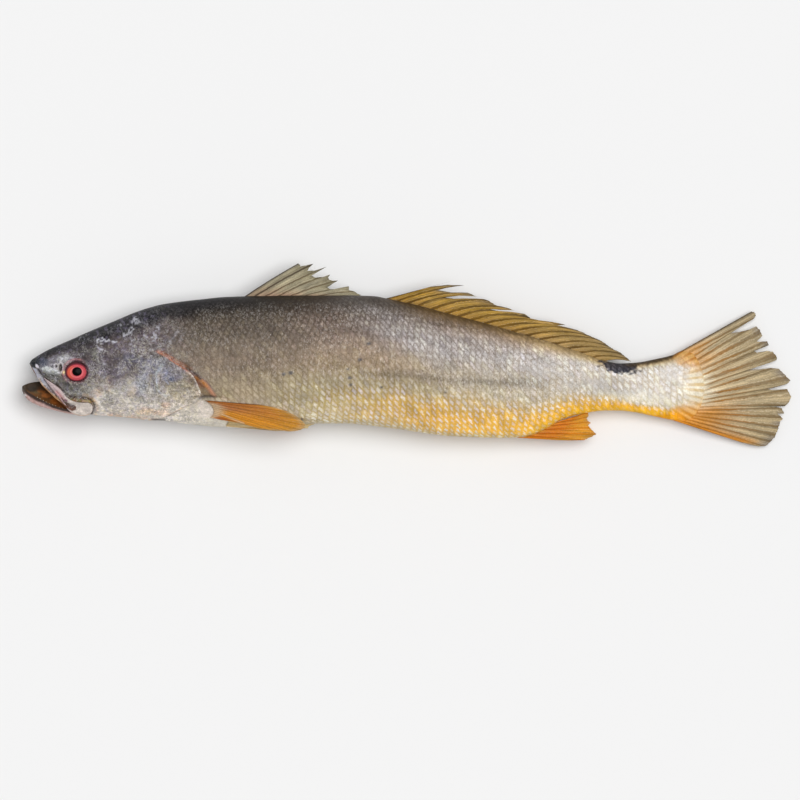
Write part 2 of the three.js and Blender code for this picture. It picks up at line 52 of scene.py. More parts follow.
MAX_LOW = [[-282.8,-19.5],[-280,-23.4],[-277.3,-27.3],[-274.6,-31.2],[-271.8,-34.7],[-269.1,-37.8],[-266,-41.3],[-262.9,-44.6],[-259,-47.1],[-254.3,-48.3],[-249.6,-47.8],[-246.5,-46.4],[-245,-44.1]]
JAW = [[-300.3,-26.9,-25.7,-28.5,1.2],[-298.7,-27.9,-24.6,-32.4,3.4],[-295.6,-30.0,-23.3,-35.9,5.6],[-290.9,-32.9,-22.2,-38.8,7.4],[-284.7,-36.3,-21.8,-41.3,8.8],[-276.9,-39.9,-23.6,-43.5,9.8],[-269.1,-42.6,-26.9,-45.4,10.4],[-261.3,-44.5,-31.2,-47.0,10.8],[-253.5,-45.6,-35.9,-47.6,11.0]]
EYE = dict(x=-257.2, y=-13.9, rx=9.2, ry=8.4, rz=6.0, stands=2.3)
DORSAL_1 = [[-126.4,44.9,-84.0,70.7,-81.5,67.9],[-119.3,44.5,-73.0,70.4,-77.2,65.1],[-110.8,44.5,-62.7,67.9,-73.5,60.7],[-101.4,44.5,-59.1,62.0,-59.7,58.5],[-92.0,44.5,-53.7,57.5,-61.4,51.8],[-81.9,44.5,-45.2,52.6,-44.9,50.1],[-71.0,44.5,-38.8,48.8,-40.9,47.1],[-58.5,44.5,-35.5,47.2,-35.9,46.3]]
DORSAL_2 = [[-16.4,43.3,37.8,57.5,22.6,51.3],[-8.6,40.6,45.6,53.6,25.7,49.3],[-0.8,38.6,55.4,45.5,30.4,44.5],[8.6,36.3,68.6,39.0,56.9,38.6],[18.7,33.5,79.6,35.6,67.9,34.3],[28.9,30.4,85.8,33.7,78.8,32.1],[39.0,27.7,96.7,29.8,89.7,28.7],[49.1,25.4,104.5,27.8,98.3,26.1],[59.3,22.6,113.9,25.5,107.6,24.0],[70.2,19.5,125.1,22.8,116.2,21.7],[81.1,16.4,132.6,19.5,125.6,17.9],[92.0,13.3,141.2,14.8,134.2,13.9],[103.0,10.1,149.8,11.5,143.5,10.3],[113.9,7.0,157.6,8.4,152.1,7.0],[124.0,3.1,163.0,4.7,158.3,3.4],[134.2,0.0,167.3,1.4,163.8,0.0],[143.5,-3.5,171.2,-2.6,168.5,-3.6],[152.9,-6.6,175.1,-6.1]]
ANAL = [[88.9,-65.5,116.2,-66.8,119.3,-66.5],[95.9,-64.0,132.6,-67.1,133.4,-66.1],[102.2,-61.8,142.3,-65.8,140.4,-64.0],[108.4,-59.0,147.4,-62.8,144.3,-60.5],[113.9,-55.8,148.0,-58.5,142.3,-56.6],[119.3,-53.0,143.1,-55.0,141.5,-53.5],[125.6,-50.4,143.4,-51.6,140.8,-49.9],[132.6,-48.4,142.3,-47.3]]
PECTORAL = [[-156.0,-36.3,-113.1,-39.3,-111.5,-40.2],[-154.1,-37.3,-95.9,-43.4,-95.5,-44.5],[-152.5,-38.6,-87.0,-48.5,-88.1,-49.1],[-151.3,-40.0,-81.9,-53.4,-83.9,-53.4],[-150.3,-41.5,-80.8,-56.5,-83.1,-56.2],[-149.4,-43.1,-83.5,-58.8,-86.6,-58.5],[-149.0,-44.6,-91.3,-60.4,-94.4,-59.7],[-149.0,-46.2,-102.2,-59.4,-105.3,-58.8],[-149.4,-47.6,-113.1,-57.6,-117.0,-56.6],[-150.4,-48.8,-123.2,-55.5,-127.9,-54.3],[-151.8,-49.9,-135.7,-53.0]]
PELVIC = [[-136.5,-50.7,-94.4,-55.0,-92.0,-55.4],[-137.3,-52.3,-81.9,-54.8,-81.9,-55.4],[-138.1,-53.5,-71.4,-54.4,-76.4,-56.2],[-138.8,-54.6,-77.2,-57.9,-81.9,-58.2],[-139.3,-55.7,-86.6,-59.9,-91.3,-59.7],[-139.6,-56.6,-102.2,-60.1]]
TAIL = [[215.3,3.1,271.8,31.8,266.3,25.4],[219.2,0.8,256.6,19.1,253.1,16.9],[222.3,-2.3,273.0,21.4,273.0,18.7],[225.0,-5.5,277.7,16.7,273.8,11.3],[227.4,-9.0,276.9,8.4,273.0,5.3],[229.3,-12.5,282.7,7.3,271.8,2.8],[230.9,-16.4,286.7,1.4,280.0,-2.3],[232.1,-20.3,289.6,-2.3,267.9,-11.5],[232.8,-24.2,288.6,-11.5,290.2,-13.3],[233.2,-28.1,299.1,-19.0,295.6,-22.2],[233.1,-32.0,285.9,-25.6,277.4,-27.5],[232.4,-35.5,297.2,-28.4,297.2,-31.2],[231.5,-38.6,300.5,-33.9,292.5,-37.9],[230.1,-41.3,296.0,-39.9,277.7,-41.5],[228.5,-43.7,289.4,-42.4,290.2,-44.5],[226.6,-46.0,295.0,-46.5,288.6,-47.4],[224.2,-48.0,293.6,-50.7,291.3,-54.6],[221.9,-49.5,289.8,-60.8,287.0,-64.0],[219.2,-51.1,283.1,-70.2,278.5,-70.5],[216.1,-52.6,269.1,-70.0,263.6,-69.4],[212.9,-53.4,245.7,-62.6]]

# Free edges of the fins: how many rays from the front, then the place
TAIL_EDGE = [[0,269.5,33.5],[0.35,271.7,32.9],[0.7,273.2,30.4],[1.1,270.7,27.3],[1.5,266,24.7],[2,259.7,20.7],[2.4,252.7,16.4],[2.5,254.3,16.7],[2.8,260.5,17.5],[3.1,267.5,19.1],[3.5,273,21.8],[3.9,276.1,18.7],[4.3,278.1,14.4],[4.7,273.4,9.9],[4.8,276.9,9.8],[5.1,281.6,10],[5.4,282.9,7],[5.7,276.9,5.2],[6,271.1,2.7],[6.1,273.8,1.2],[6.4,281.6,2.5],[6.8,285.9,2],[7.1,289.6,-2.3],[7.4,289,-4.7],[7.8,281.6,-7.4],[8.1,273,-10.1],[8.3,266.8,-12.1],[8.5,275.3,-11.9],[8.9,284.7,-10.8],[9.3,290.9,-11.4],[9.6,294.4,-15.2],[9.9,297.2,-17.6],[10.2,300,-20.7],[10.6,297.2,-23.4],[11,289.4,-25.7],[11.3,282.4,-27.3],[11.4,285.5,-28.1],[11.7,293.3,-27.6],[12,297.6,-27.3],[12.4,300.5,-33.1],[12.7,298.7,-37.4],[12.9,296,-40.7],[13.2,292.5,-37.6],[13.5,290.2,-38.6],[13.7,286.3,-40.6],[13.8,289.4,-41.3],[14.1,293.3,-42.5],[14.4,295.4,-46.6],[14.7,289.8,-46.6],[14.9,292.1,-48.4],[15.2,294.3,-50.7],[15.5,291.7,-53],[16,290.9,-56.9],[16.6,289.8,-60.1],[17.2,287.8,-64.7],[18,284.7,-68.6],[18.8,280.4,-71.8],[19.4,275.3,-72.2],[19.7,269.1,-71.2],[20,262.9,-69.6]]
DORSAL_1_EDGE = [[0,-85,70.7],[0.3,-83.5,70],[0.5,-83.1,68.4],[0.75,-78.8,69.2],[1,-72.9,70.5],[1.25,-75.7,67.9],[1.45,-77.6,65.1],[1.7,-72.5,65],[2,-62.8,68],[2.25,-69,64.4],[2.5,-74.5,61.2],[2.75,-71.8,59.8],[3,-65.5,60.1],[3.3,-59.7,62.2],[3.5,-61.2,60.1],[3.65,-60.8,58.3],[3.8,-57.7,57.1],[4,-53.4,57.5],[4.3,-57.7,55],[4.6,-62,52],[4.85,-59.7,50.5],[5.1,-53.8,50.7],[5.5,-45.2,52.9],[5.75,-45.1,49.9],[6,-40.6,48.8],[6.3,-38.6,47.2],[6.6,-35.5,46],[7,-37.4,45.4]]
DORSAL_2_EDGE = [[0,37.4,57.5],[0.25,31.2,55.9],[0.45,18.3,52.6],[0.7,32,54.1],[1,45.2,53.7],[1.3,33.5,52.3],[1.55,24.2,49.9],[1.8,35.1,48.2],[2.1,47.6,47.9],[2.5,55,44.9],[2.75,41.3,45.6],[2.95,30,44.3],[3.2,38.2,43],[3.5,52.3,43.2],[3.8,60.1,42.9],[4.2,65.5,41],[4.6,69,38.2],[4.9,76.4,36.7],[5.4,84.2,34.1],[5.65,72.5,34.6],[5.8,64.7,35.2],[6,72.5,33.4],[6.3,84.2,32.5],[6.7,92,31.4],[7.1,96.7,27.8],[7.6,104.5,26],[8.1,113.1,24],[8.6,124,22.8],[8.8,116.2,22.2],[8.95,109.2,22.3],[9.1,116.2,21.2],[9.4,125.6,20.6],[9.8,132.6,18.9],[10.4,138.8,16.4],[11,143.5,13.9],[11.7,149,11.7],[12.4,153.7,9.4],[13,157.6,6.2],[13.8,162.2,3.4],[14.5,166.5,1.5],[15.2,170,-1.4],[16,173.2,-4.1],[17,175.1,-5.9]]
ANAL_EDGE = [[0,116.2,-67.2],[0.5,127.1,-67.5],[1,138.8,-67.2],[1.5,143.5,-65.1],[2,148,-62.7],[2.5,145.9,-60.5],[3,142.7,-57.3],[3.4,141.7,-55.5],[3.8,143.8,-53.8],[4.3,141.6,-52.3],[4.8,140.4,-50.1],[5.4,142,-48.4],[6,141.4,-46],[7,139.6,-44.9]]
PECTORAL_EDGE = [[0,-113.1,-39.6],[0.5,-102.2,-41.7],[1,-93.6,-44.5],[1.6,-86.6,-48],[2.2,-81.9,-51.5],[2.8,-79.2,-54.6],[3.4,-79.6,-57.4],[4,-83.1,-59.3],[4.6,-87.4,-60.2],[5.3,-92,-60.5],[6,-98.3,-59.4],[6.8,-105.3,-59.4],[7.6,-113.1,-58.5],[8.3,-119.7,-56.8],[9,-125.6,-54.8],[9.5,-131,-53.7],[10,-138.1,-52.6]]

# The CAD group is centred on its own box: its eye tells by how much.
_lo, _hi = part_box("left_eye")
SHIFT = np.array([EYE["x"] - 500 * (_lo.x + _hi.x), EYE["y"] - 500 * (_lo.y + _hi.y), 0.0])


# ------------------------------------------------------------------------------ curves and noise
def along(table, x):
    """Smooth value at x through a table of rows (cubic Hermite, no overshoot)."""
    t = np.asarray(table, float)
    xs, ys = t[:, 0], t[:, 1]
    sl = np.diff(ys) / np.diff(xs)
    m = np.zeros(len(xs))
    m[0], m[-1] = sl[0], sl[-1]
    same = sl[:-1] * sl[1:] > 0
    m[1:-1][same] = 2 * sl[:-1][same] * sl[1:][same] / (sl[:-1][same] + sl[1:][same])
    x = np.clip(np.asarray(x, float), xs[0], xs[-1])
    i = np.clip(np.searchsorted(xs, x, side="right") - 1, 0, len(xs) - 2)
    h = xs[i + 1] - xs[i]
    u = (x - xs[i]) / h
    return (2*u**3 - 3*u**2 + 1) * ys[i] + (u**3 - 2*u**2 + u) * h * m[i] + (3*u**2 - 2*u**3) * ys[i+1] + (u**3 - u**2) * h * m[i+1]


def smooth(a, b, x):
    u = np.clip((np.asarray(x, float) - a) / (b - a), 0, 1)
    return u * u * (3 - 2 * u)


def mix(a, b, k):
    k = np.asarray(k)[..., None] if np.ndim(k) and np.ndim(a) != np.ndim(k) else k
    return a * (1 - k) + b * k


_rng = np.random.default_rng(11)
_TABLE = _rng.random((65, 65, 15))


def noise(x, y, z=0.0, layer=0):
    """Value noise from 0 to 1 on a unit lattice."""
    x, y, z = np.broadcast_arrays(np.asarray(x, float) + 17.3 * layer, np.asarray(y, float) + 5.1 * layer, np.asarray(z, float))
    xi, yi, zi = np.floor(x).astype(int), np.floor(y).astype(int), np.floor(z).astype(int)
    fx, fy, fz = x - xi, y - yi, z - zi
    fx, fy, fz = fx*fx*(3-2*fx), fy*fy*(3-2*fy), fz*fz*(3-2*fz)
    out = 0
    for dx in (0, 1):
        for dy in (0, 1):
            for dz in (0, 1):
                w = (fx if dx else 1-fx) * (fy if dy else 1-fy) * (fz if dz else 1-fz)
                out = out + w * _TABLE[(xi+dx) % 64, (yi+dy) % 64, (zi+dz) % 16]
    return out


def fbm(x, y, z=0.0, layer=0, octaves=3):
    total, amp, norm = 0, 1.0, 0
    for k in range(octaves):
        total = total + amp * noise(np.asarray(x) * 2**k, np.asarray(y) * 2**k, np.asarray(z) * 2**k, layer + 7*k)
        norm += amp
        amp *= 0.5
    return total / norm


def to_line(x, y, pts):
    """Distance from each point to a line through pts, and how far along it (0 to 1) the nearest place is."""
    pts = np.asarray(pts, float)
    seg = np.diff(pts, axis=0)
    length = np.hypot(seg[:, 0], seg[:, 1])
    start = np.concatenate([[0], np.cumsum(length)])
    best = np.full(np.shape(x), 1e9)
    where = np.zeros(np.shape(x))
    for k in range(len(seg)):
        u = np.clip(((x - pts[k, 0]) * seg[k, 0] + (y - pts[k, 1]) * seg[k, 1]) / length[k]**2, 0, 1)
        d = np.hypot(x - pts[k, 0] - u * seg[k, 0], y - pts[k, 1] - u * seg[k, 1])
        near = d < best
        best = np.where(near, d, best)
        where = np.where(near, (start[k] + u * length[k]) / start[-1], where)
    return best, where


def inside(x, y, poly):
    poly = np.asarray(poly, float)
    odd = np.zeros(np.shape(x), bool)
    j = len(poly) - 1
    for i in range(len(poly)):
        (x1, y1), (x2, y2) = poly[i], poly[j]
        cross = ((y1 > y) != (y2 > y)) & (x < (x2 - x1) * (y - y1) / ((y2 - y1) or 1e-9) + x1)
        odd ^= cross
        j = i
    return odd


def signed(x, y, poly):
    """Distance to a closed outline, positive inside."""
    d, _ = to_line(x, y, list(poly) + [poly[0]])
    return np.where(inside(x, y, poly), d, -d)


def resample(pts, n):
    pts = np.asarray(pts, float)
    d = np.concatenate([[0], np.cumsum(np.hypot(*np.diff(pts, axis=0).T))])
    # Catmull-Rom through the points, by arc length
    t = np.linspace(0, d[-1], n)
    tang = np.gradient(pts, d, axis=0)
    i = np.clip(np.searchsorted(d, t, side="right") - 1, 0, len(pts) - 2)
    h = (d[i+1] - d[i])[:, None]
    u = ((t - d[i]) / (d[i+1] - d[i]))[:, None]
    return (2*u**3-3*u**2+1)*pts[i] + (u**3-2*u**2+u)*h*tang[i] + (3*u**2-2*u**3)*pts[i+1] + (u**3-u**2)*h*tang[i+1]


def section(x):
    top, bottom = along(DORSAL, x), along(VENTRAL, x)
    return (top + bottom) / 2, (top - bottom) / 2, along(HALF_WIDTH, x), along(MID_HEIGHT, x)


def bulge(h):
    n = np.where(h > 0, BACK_POWER, BELLY_POWER)
    return (1 - np.minimum(1, np.abs(h)) ** n) ** (1 / n)


def skin_z(x, y, side):
    yc, a, w, zc = section(x)
    h = np.clip((y - yc) / np.maximum(a, 0.01), -0.985, 0.985)
    return zc + side * w * bulge(h)


def rgb(*c):
    c = np.asarray(c, float) / 255
    return np.where(c <= 0.04045, c / 12.92, ((c + 0.055) / 1.055) ** 2.4)


# ------------------------------------------------------------------------------ meshes
def make(name, verts, faces, attrs, material, node, merge=False):
    """verts in mm in the CAD source's frame; attrs: name to (kind, array)."""
    verts = (np.asarray(verts, float) - SHIFT) * 0.001
    me = bpy.data.meshes.new(name)
    tri = [np.asarray(f, np.int32).reshape(-1, k) for f, k in faces]
    loops = np.concatenate([f.ravel() for f in tri])
    totals = np.concatenate([np.full(len(f), f.shape[1], np.int32) for f in tri])
    starts = np.concatenate([[0], np.cumsum(totals)[:-1]]).astype(np.int32)
    me.vertices.add(len(verts))
    me.vertices.foreach_set("co", verts.astype(np.float32).ravel())
    me.loops.add(len(loops))
    me.loops.foreach_set("vertex_index", loops)
    me.polygons.add(len(totals))
    me.polygons.foreach_set("loop_start", starts)
    me.polygons.foreach_set("loop_total", totals)
    me.polygons.foreach_set("use_smooth", np.ones(len(totals), bool))
    me.update(calc_edges=True)
    me.validate()
    for key, (kind, data) in attrs.items():
        data = np.asarray(data, np.float32)
        at = me.attributes.new(key, kind, "POINT")
        if kind == "FLOAT_COLOR":
            full = np.ones((len(verts), 4), np.float32)
            full[:, :3] = data
            at.data.foreach_set("color", full.ravel())
        elif kind == "FLOAT_VECTOR":
            at.data.foreach_set("vector", data.ravel())
        else:
            at.data.foreach_set("value", data.ravel())
    me.materials.append(material)
    ob = bpy.data.objects.new(name, me)
    bpy.context.scene.collection.objects.link(ob)
    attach(ob, "root")
    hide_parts(node)
    return ob


def outward(verts, quads, tris=None):
    """Flips every face if the closed mesh points inwards."""
    q = np.asarray(quads).reshape(-1, 4)
    v = np.asarray(verts)
    a, b, c, d = (v[q[:, i]] for i in range(4))
    vol = np.einsum("ij,ij->i", a, np.cross(b, c)).sum() + np.einsum("ij,ij->i", a, np.cross(c, d)).sum()
    if tris is not None and len(tris):
        t = np.asarray(tris).reshape(-1, 3)
        vol += np.einsum("ij,ij->i", v[t[:, 0]], np.cross(v[t[:, 1]], v[t[:, 2]])).sum()
    if vol < 0:
        q = q[:, ::-1]
        if tris is not None and len(tris):
            tris = np.asarray(tris).reshape(-1, 3)[:, ::-1]
    return q, tris


def two_sided(top, bottom):
    """Closed mesh from two grids (n, m, 3) that face each other."""
    n, m = top.shape[:2]
    verts = np.concatenate([top.reshape(-1, 3), bottom.reshape(-1, 3)])
    idx = np.arange(n * m).reshape(n, m)
    off = n * m
    def quads(a, b, c, d):
        return np.stack([a.ravel(), b.ravel(), c.ravel(), d.ravel()], 1)
    faces = [quads(idx[:-1, :-1], idx[1:, :-1], idx[1:, 1:], idx[:-1, 1:]),
             quads(idx[:-1, :-1] + off, idx[:-1, 1:] + off, idx[1:, 1:] + off, idx[1:, :-1] + off)]
    ring = np.concatenate([idx[0, :-1], idx[:-1, -1], idx[-1, :0:-1], idx[:0:-1, 0]])
    nxt = np.roll(ring, -1)
    faces.append(np.stack([ring, nxt, nxt + off, ring + off], 1))
    q, _ = outward(verts, np.concatenate(faces))
    return verts, q


# ------------------------------------------------------------------------------ node helper
class Nodes:
    def __init__(self, name):
        self.mat = bpy.data.materials.new(name)
        self.mat.use_nodes = True
        self.t = self.mat.node_tree
        self.t.nodes.clear()
        self.out = self.t.nodes.new("ShaderNodeOutputMaterial")

    def link(self, value, socket):
        if isinstance(value, bpy.types.NodeSocket):
            self.t.links.new(value, socket)
        else:
            if hasattr(socket, "default_value") and not np.isscalar(value):
                value = tuple(float(v) for v in value)
                if len(value) == 3 and socket.type == "RGBA":
                    value += (1.0,)
            socket.default_value = value

    def node(self, kind, out=0, props=None, **ins):
        n = self.t.nodes.new(kind)
        for k, v in (props or {}).items():
            setattr(n, k, v)
        for k, v in ins.items():
            self.link(v, n.inputs[int(k[1:])] if k[0] == "_" and k[1:].isdigit() else n.inputs[k.replace("_", " ")])
        return n.outputs[out]

    def m(self, op, a, b=0.0, c=0.0, clamp=False):
        n = self.t.nodes.new("ShaderNodeMath")
        n.operation, n.use_clamp = op, clamp
        self.link(a, n.inputs[0]); self.link(b, n.inputs[1])
        if op in ("MULTIPLY_ADD", "WRAP", "SMOOTH_MIN", "SMOOTH_MAX"):
            self.link(c, n.inputs[2])
        return n.outputs[0]

    def ramp(self, x, a, b, lo=0.0, hi=1.0, kind="SMOOTHSTEP"):
        n = self.t.nodes.new("ShaderNodeMapRange")
        n.interpolation_type = kind
        n.clamp = True if kind == "LINEAR" else n.clamp
        for v, i in ((x, 0), (a, 1), (b, 2), (lo, 3), (hi, 4)):
            self.link(v, n.inputs[i])
        return n.outputs[0]

    def mixc(self, k, a, b, blend="MIX"):
        n = self.t.nodes.new("ShaderNodeMix")
        n.data_type, n.blend_type = "RGBA", blend
        self.link(k, n.inputs[0]); self.link(a, n.inputs[6]); self.link(b, n.inputs[7])
        return n.outputs[2]

    def attr(self, name, out="Color"):
        n = self.t.nodes.new("ShaderNodeAttribute")
        n.attribute_name = name
        return n.outputs[out]

    def xyz(self, vec):
        n = self.t.nodes.new("ShaderNodeSeparateXYZ")
        self.link(vec, n.inputs[0])
        return n.outputs[0], n.outputs[1], n.outputs[2]

    def vec(self, x, y, z=0.0):
        n = self.t.nodes.new("ShaderNodeCombineXYZ")
        for v, i in ((x, 0), (y, 1), (z, 2)):
            self.link(v, n.inputs[i])
        return n.outputs[0]

    def noise(self, vec, scale, detail=3.0, rough=0.55, distort=0.0, out=0):
        n = self.t.nodes.new("ShaderNodeTexNoise")
        self.link(vec, n.inputs["Vector"])
        n.inputs["Scale"].default_value = scale
        n.inputs["Detail"].default_value = detail
        n.inputs["Roughness"].default_value = rough
        n.inputs["Distortion"].default_value = distort
        return n.outputs[out]

    def place(self, sx=1.0, sy=1.0, sz=1.0):
        n = self.t.nodes.new("ShaderNodeTexCoord")
        v = self.t.nodes.new("ShaderNodeVectorMath")
        v.operation = "MULTIPLY"
        self.link(n.outputs["Object"], v.inputs[0])
        v.inputs[1].default_value = (sx, sy, sz)
        return v.outputs[0]

    def bump(self, height, distance, strength=1.0, normal=None):
        n = self.t.nodes.new("ShaderNodeBump")
        self.link(height, n.inputs["Height"])
        n.inputs["Distance"].default_value = distance
        self.link(strength, n.inputs["Strength"])
        if normal is not None:
            self.link(normal, n.inputs["Normal"])
        return n.outputs[0]

    def skin(self, colour, rough, normal=None, coat=0.0, coat_rough=0.12, spec=0.5, sss=0.0, sss_radius=(1.0, 0.5, 0.3), alpha=None, translucent=None, coat_normal=None, transmission=None):
        n = self.t.nodes.new("ShaderNodeBsdfPrincipled")
        self.link(colour, n.inputs["Base Color"])
        self.link(rough, n.inputs["Roughness"])
        self.link(coat, n.inputs["Coat Weight"])
        self.link(coat_rough, n.inputs["Coat Roughness"])
        self.link(spec, n.inputs["Specular IOR Level"])
        if sss:
            n.inputs["Subsurface Weight"].default_value = sss
            n.inputs["Subsurface Radius"].default_value = sss_radius
            n.inputs["Subsurface Scale"].default_value = 0.0025
        if normal is not None:
            self.link(normal, n.inputs["Normal"])
        if coat_normal is not None:
            self.link(coat_normal, n.inputs["Coat Normal"])
        if alpha is not None:
            self.link(alpha, n.inputs["Alpha"])
        self.t.links.new(n.outputs[0], self.out.inputs["Surface"])
        return n


# ------------------------------------------------------------------------------ colours of the skin, by zone
# Chosen for each zone of the fish and rounded to fives. Each zone runs from the shoulder to the tail stalk.
BACK = ((40, 35, 30), (60, 50, 40), (95, 75, 50), (175, 150, 105))
UPPER = ((95, 85, 75), (120, 105, 95), (160, 150, 145), (230, 225, 220))
MIDDLE = ((130, 115, 100), (160, 140, 120), (175, 165, 150), (235, 230, 225))
LOWER = ((170, 155, 130), (170, 160, 130), (210, 200, 170), (235, 230, 210))
BELLY = ((205, 200, 180), (205, 190, 160), (230, 200, 140), (230, 190, 95))
HEAD_TOP, HEAD_SIDE, CHEEK, THROAT = (35, 30, 35), (100, 90, 90), (175, 170, 160), (210, 200, 190)
GOLD, OCHRE, PEARL = (230, 170, 35), (150, 130, 80), (240, 230, 240)


def tone(c, like):
    return rgb(*c) * np.ones(np.shape(like) + (3,))


def over(col, c, k):
    """Lays colour c over col with strength k."""
    return mix(col, tone(c, k), np.clip(k, 0, 1))


def zone(colours, x, stops):
    out = tone(colours[0], x)
    for c, (lo, hi) in zip(colours[1:], stops):
        out = mix(out, tone(c, x), smooth(lo, hi, x))
    return out


def skin_colour(x, f):
    back = zone(BACK, x, ((-130, -40), (-30, 40), (60, 150)))
    upper = zone(UPPER, x, ((-120, -50), (-50, 70), (70, 185)))
    middle = zone(MIDDLE, x, ((-120, -30), (-30, 70), (70, 190)))
    lower = zone(LOWER, x, ((-130, -50), (-20, 80), (90, 190)))
    belly = zone(BELLY, x, ((-120, -40), (-10, 70), (90, 150)))
    trunk = mix(mix(mix(mix(back, upper, smooth(0.03, 0.24, f)), middle, smooth(0.25, 0.50, f)), lower, smooth(0.50, 0.76, f)), belly, smooth(0.78, 0.94, f))
    head = tone(HEAD_TOP, x)
    for c, lo, hi in ((HEAD_SIDE, 0.03, 0.22), (CHEEK, 0.53, 0.76), (THROAT, 0.80, 0.95)):
        head = mix(head, tone(c, x), smooth(lo, hi, f))
    return mix(head, trunk, smooth(-205, -165, x + 10 * (f - 0.5)))


COVER = GILL_FRONT + GILL_REAR[::-1]
MAXILLA = MAX_UP + MAX_LOW[::-1]
WHITE_EDGE = [(-170.8, -13.9), (-167.3, -16.4), (-164.6, -19.7), (-163.0, -23.8), (-161.8, -27.3), (-161.0, -30.4)]
LIP_EDGE = [(-293.5,-9.5),(-289.4,-17.0),(-284.7,-24.9),(-278.5,-31.6),(-270.7,-39.2),(-264.4,-44.9),(-258.2,-47.9)]
LIP_GROOVE = [(-288.0, -12.1), (-284.7, -17.2), (-281.6, -21.1), (-278.5, -25.2), (-275.3, -29.6), (-273.0, -33.1), (-269.1, -37.9), (-265.2, -42.5)]
MOUTH_GAP = [(-273.8, -23.8), (-271.4, -25.7), (-269.1, -27.8), (-266.0, -31.2), (-262.9, -33.3), (-256.6, -34.2), (-250.4, -34.5), (-246.5, -36.0), (-244.1, -39.0), (-243.5, -42.1), (-244.7, -45.2), (-246.5, -47.9)]
# Pale and dark marks of the head: x, y, half length, half height, colour, strength
MARKS = (
    (-193,-3,9,6,(75, 70, 70),0.70), (-192,-21,9,5,(115, 105, 100),0.60), (-177,-21,7,5,(115, 105, 95),0.40), (-177,-2,6,4,(165, 155, 140),0.5),
    (-252,3,10,5,(60, 60, 60),0.5), (-234,-4,8,6,(80, 70, 70),0.45),
    (-236,-36,16,10,(195, 190, 180),0.55), (-216,-40,18,9,(200, 190, 180),0.55), (-206,-30,12,10,(175, 170, 165),0.35),
    (-240.5,-30,5,4.4,(200, 165, 140),0.5), (-232,-25,4,6,(190, 160, 135),0.4), (-247,-37,4,3,(210, 165, 125),0.5),
    (-214,-30,5,4,(200, 175, 145),0.35), (-203,-44,8,3.5,(215, 180, 145),0.5), (-190,-46,8,3,(215, 165, 120),0.5),
    (-187,-40.2,4.2,2.6,(200, 145, 90),0.6), (-196,-10,12,6,(120, 125, 145),0.5), (-182,-16,10,6.5,(115, 120, 140),0.55),
    (-206,-22,5,9,(140, 150, 170),0.5), (-178,-26,8,6,(135, 130, 110),0.5), (-169,-27,5,8,(150, 140, 120),0.5),
    (-222,-12,7,5,(95, 90, 100),0.45), (-213,-4,8,4.5,(85, 90, 110),0.45), (-226,-20,7,6,(110, 100, 110),0.4),
    (-168,-20,3.5,4,(95, 75, 60),0.6), (-171,-31,6,3,(205, 195, 180),0.5), (-186,-6,9,4,(85, 85, 95),0.45),
    (-243,0.5,4,5,(130, 130, 120),0.6), (-262,6,8,4,(60, 55, 60),0.5), (-250,2,6,4,(65, 60, 65),0.45))
# Painted highlights of the wet head: line, width, strength
GLINTS = (
    (((-241.8,9.4),(-236,10.8),(-230,9.6),(-228,8.2)),1.3,0.85), (((-242,8),(-238.5,4.5),(-235,2.2)),1.0,0.65), (((-236,2),(-238,-2.5),(-242,-3.5)),1.1,0.4),
    (((-249,12),(-247,15)),0.9,0.5), (((-219,14),(-214,20),(-212,27)),1.5,0.7), (((-212,24),(-207,25)),1.2,0.5), (((-197,12),(-194.5,21)),1.7,0.75),
    (((-206,10),(-201.5,17)),1.1,0.45), (((-226,20),(-222,24)),1.1,0.45), (((-187,6),(-180,16)),1.5,0.5), (((-200,2),(-190,6)),1.0,0.35),
    (((-255,11),(-251,13.5)),0.9,0.35), (((-216,9),(-210,11)),1.0,0.4), (((-178,9),(-174,15)),1.2,0.4), (((-222,12),(-219,17)),0.9,0.4))
BONES = (
    (((-190,-9),(-194,-14),(-195.5,-21),(-194,-28),(-189,-34)), (190, 200, 210), 0.9, 0.7),
    (((-193,-11),(-197.5,-17),(-198.5,-24),(-196,-31)), (85, 95, 120), 0.9, 0.55),
    (((-203,-13),(-208,-20),(-209,-29),(-204,-37),(-196,-42)), (180, 180, 185), 0.9, 0.4),
    (((-205,-10),(-210.5,-18),(-211.5,-28),(-207,-37.5)), (105, 105, 120), 0.9, 0.35),
    (((-212,-38),(-204,-41),(-195,-40),(-186,-37),(-176,-36)), (210, 200, 185), 0.9, 0.45),
    (((-252,-28),(-243,-26.5),(-234,-27),(-226,-30)), (150, 145, 135), 0.8, 0.3),
    (((-186,-12),(-188,-18),(-187,-24)), (160, 170, 200), 0.8, 0.4), (((-180,-9),(-176,-15),(-172,-19)), (170, 165, 160), 0.8, 0.35))


LIP = LIP_EDGE[:-1] + LIP_GROOVE[::-1]


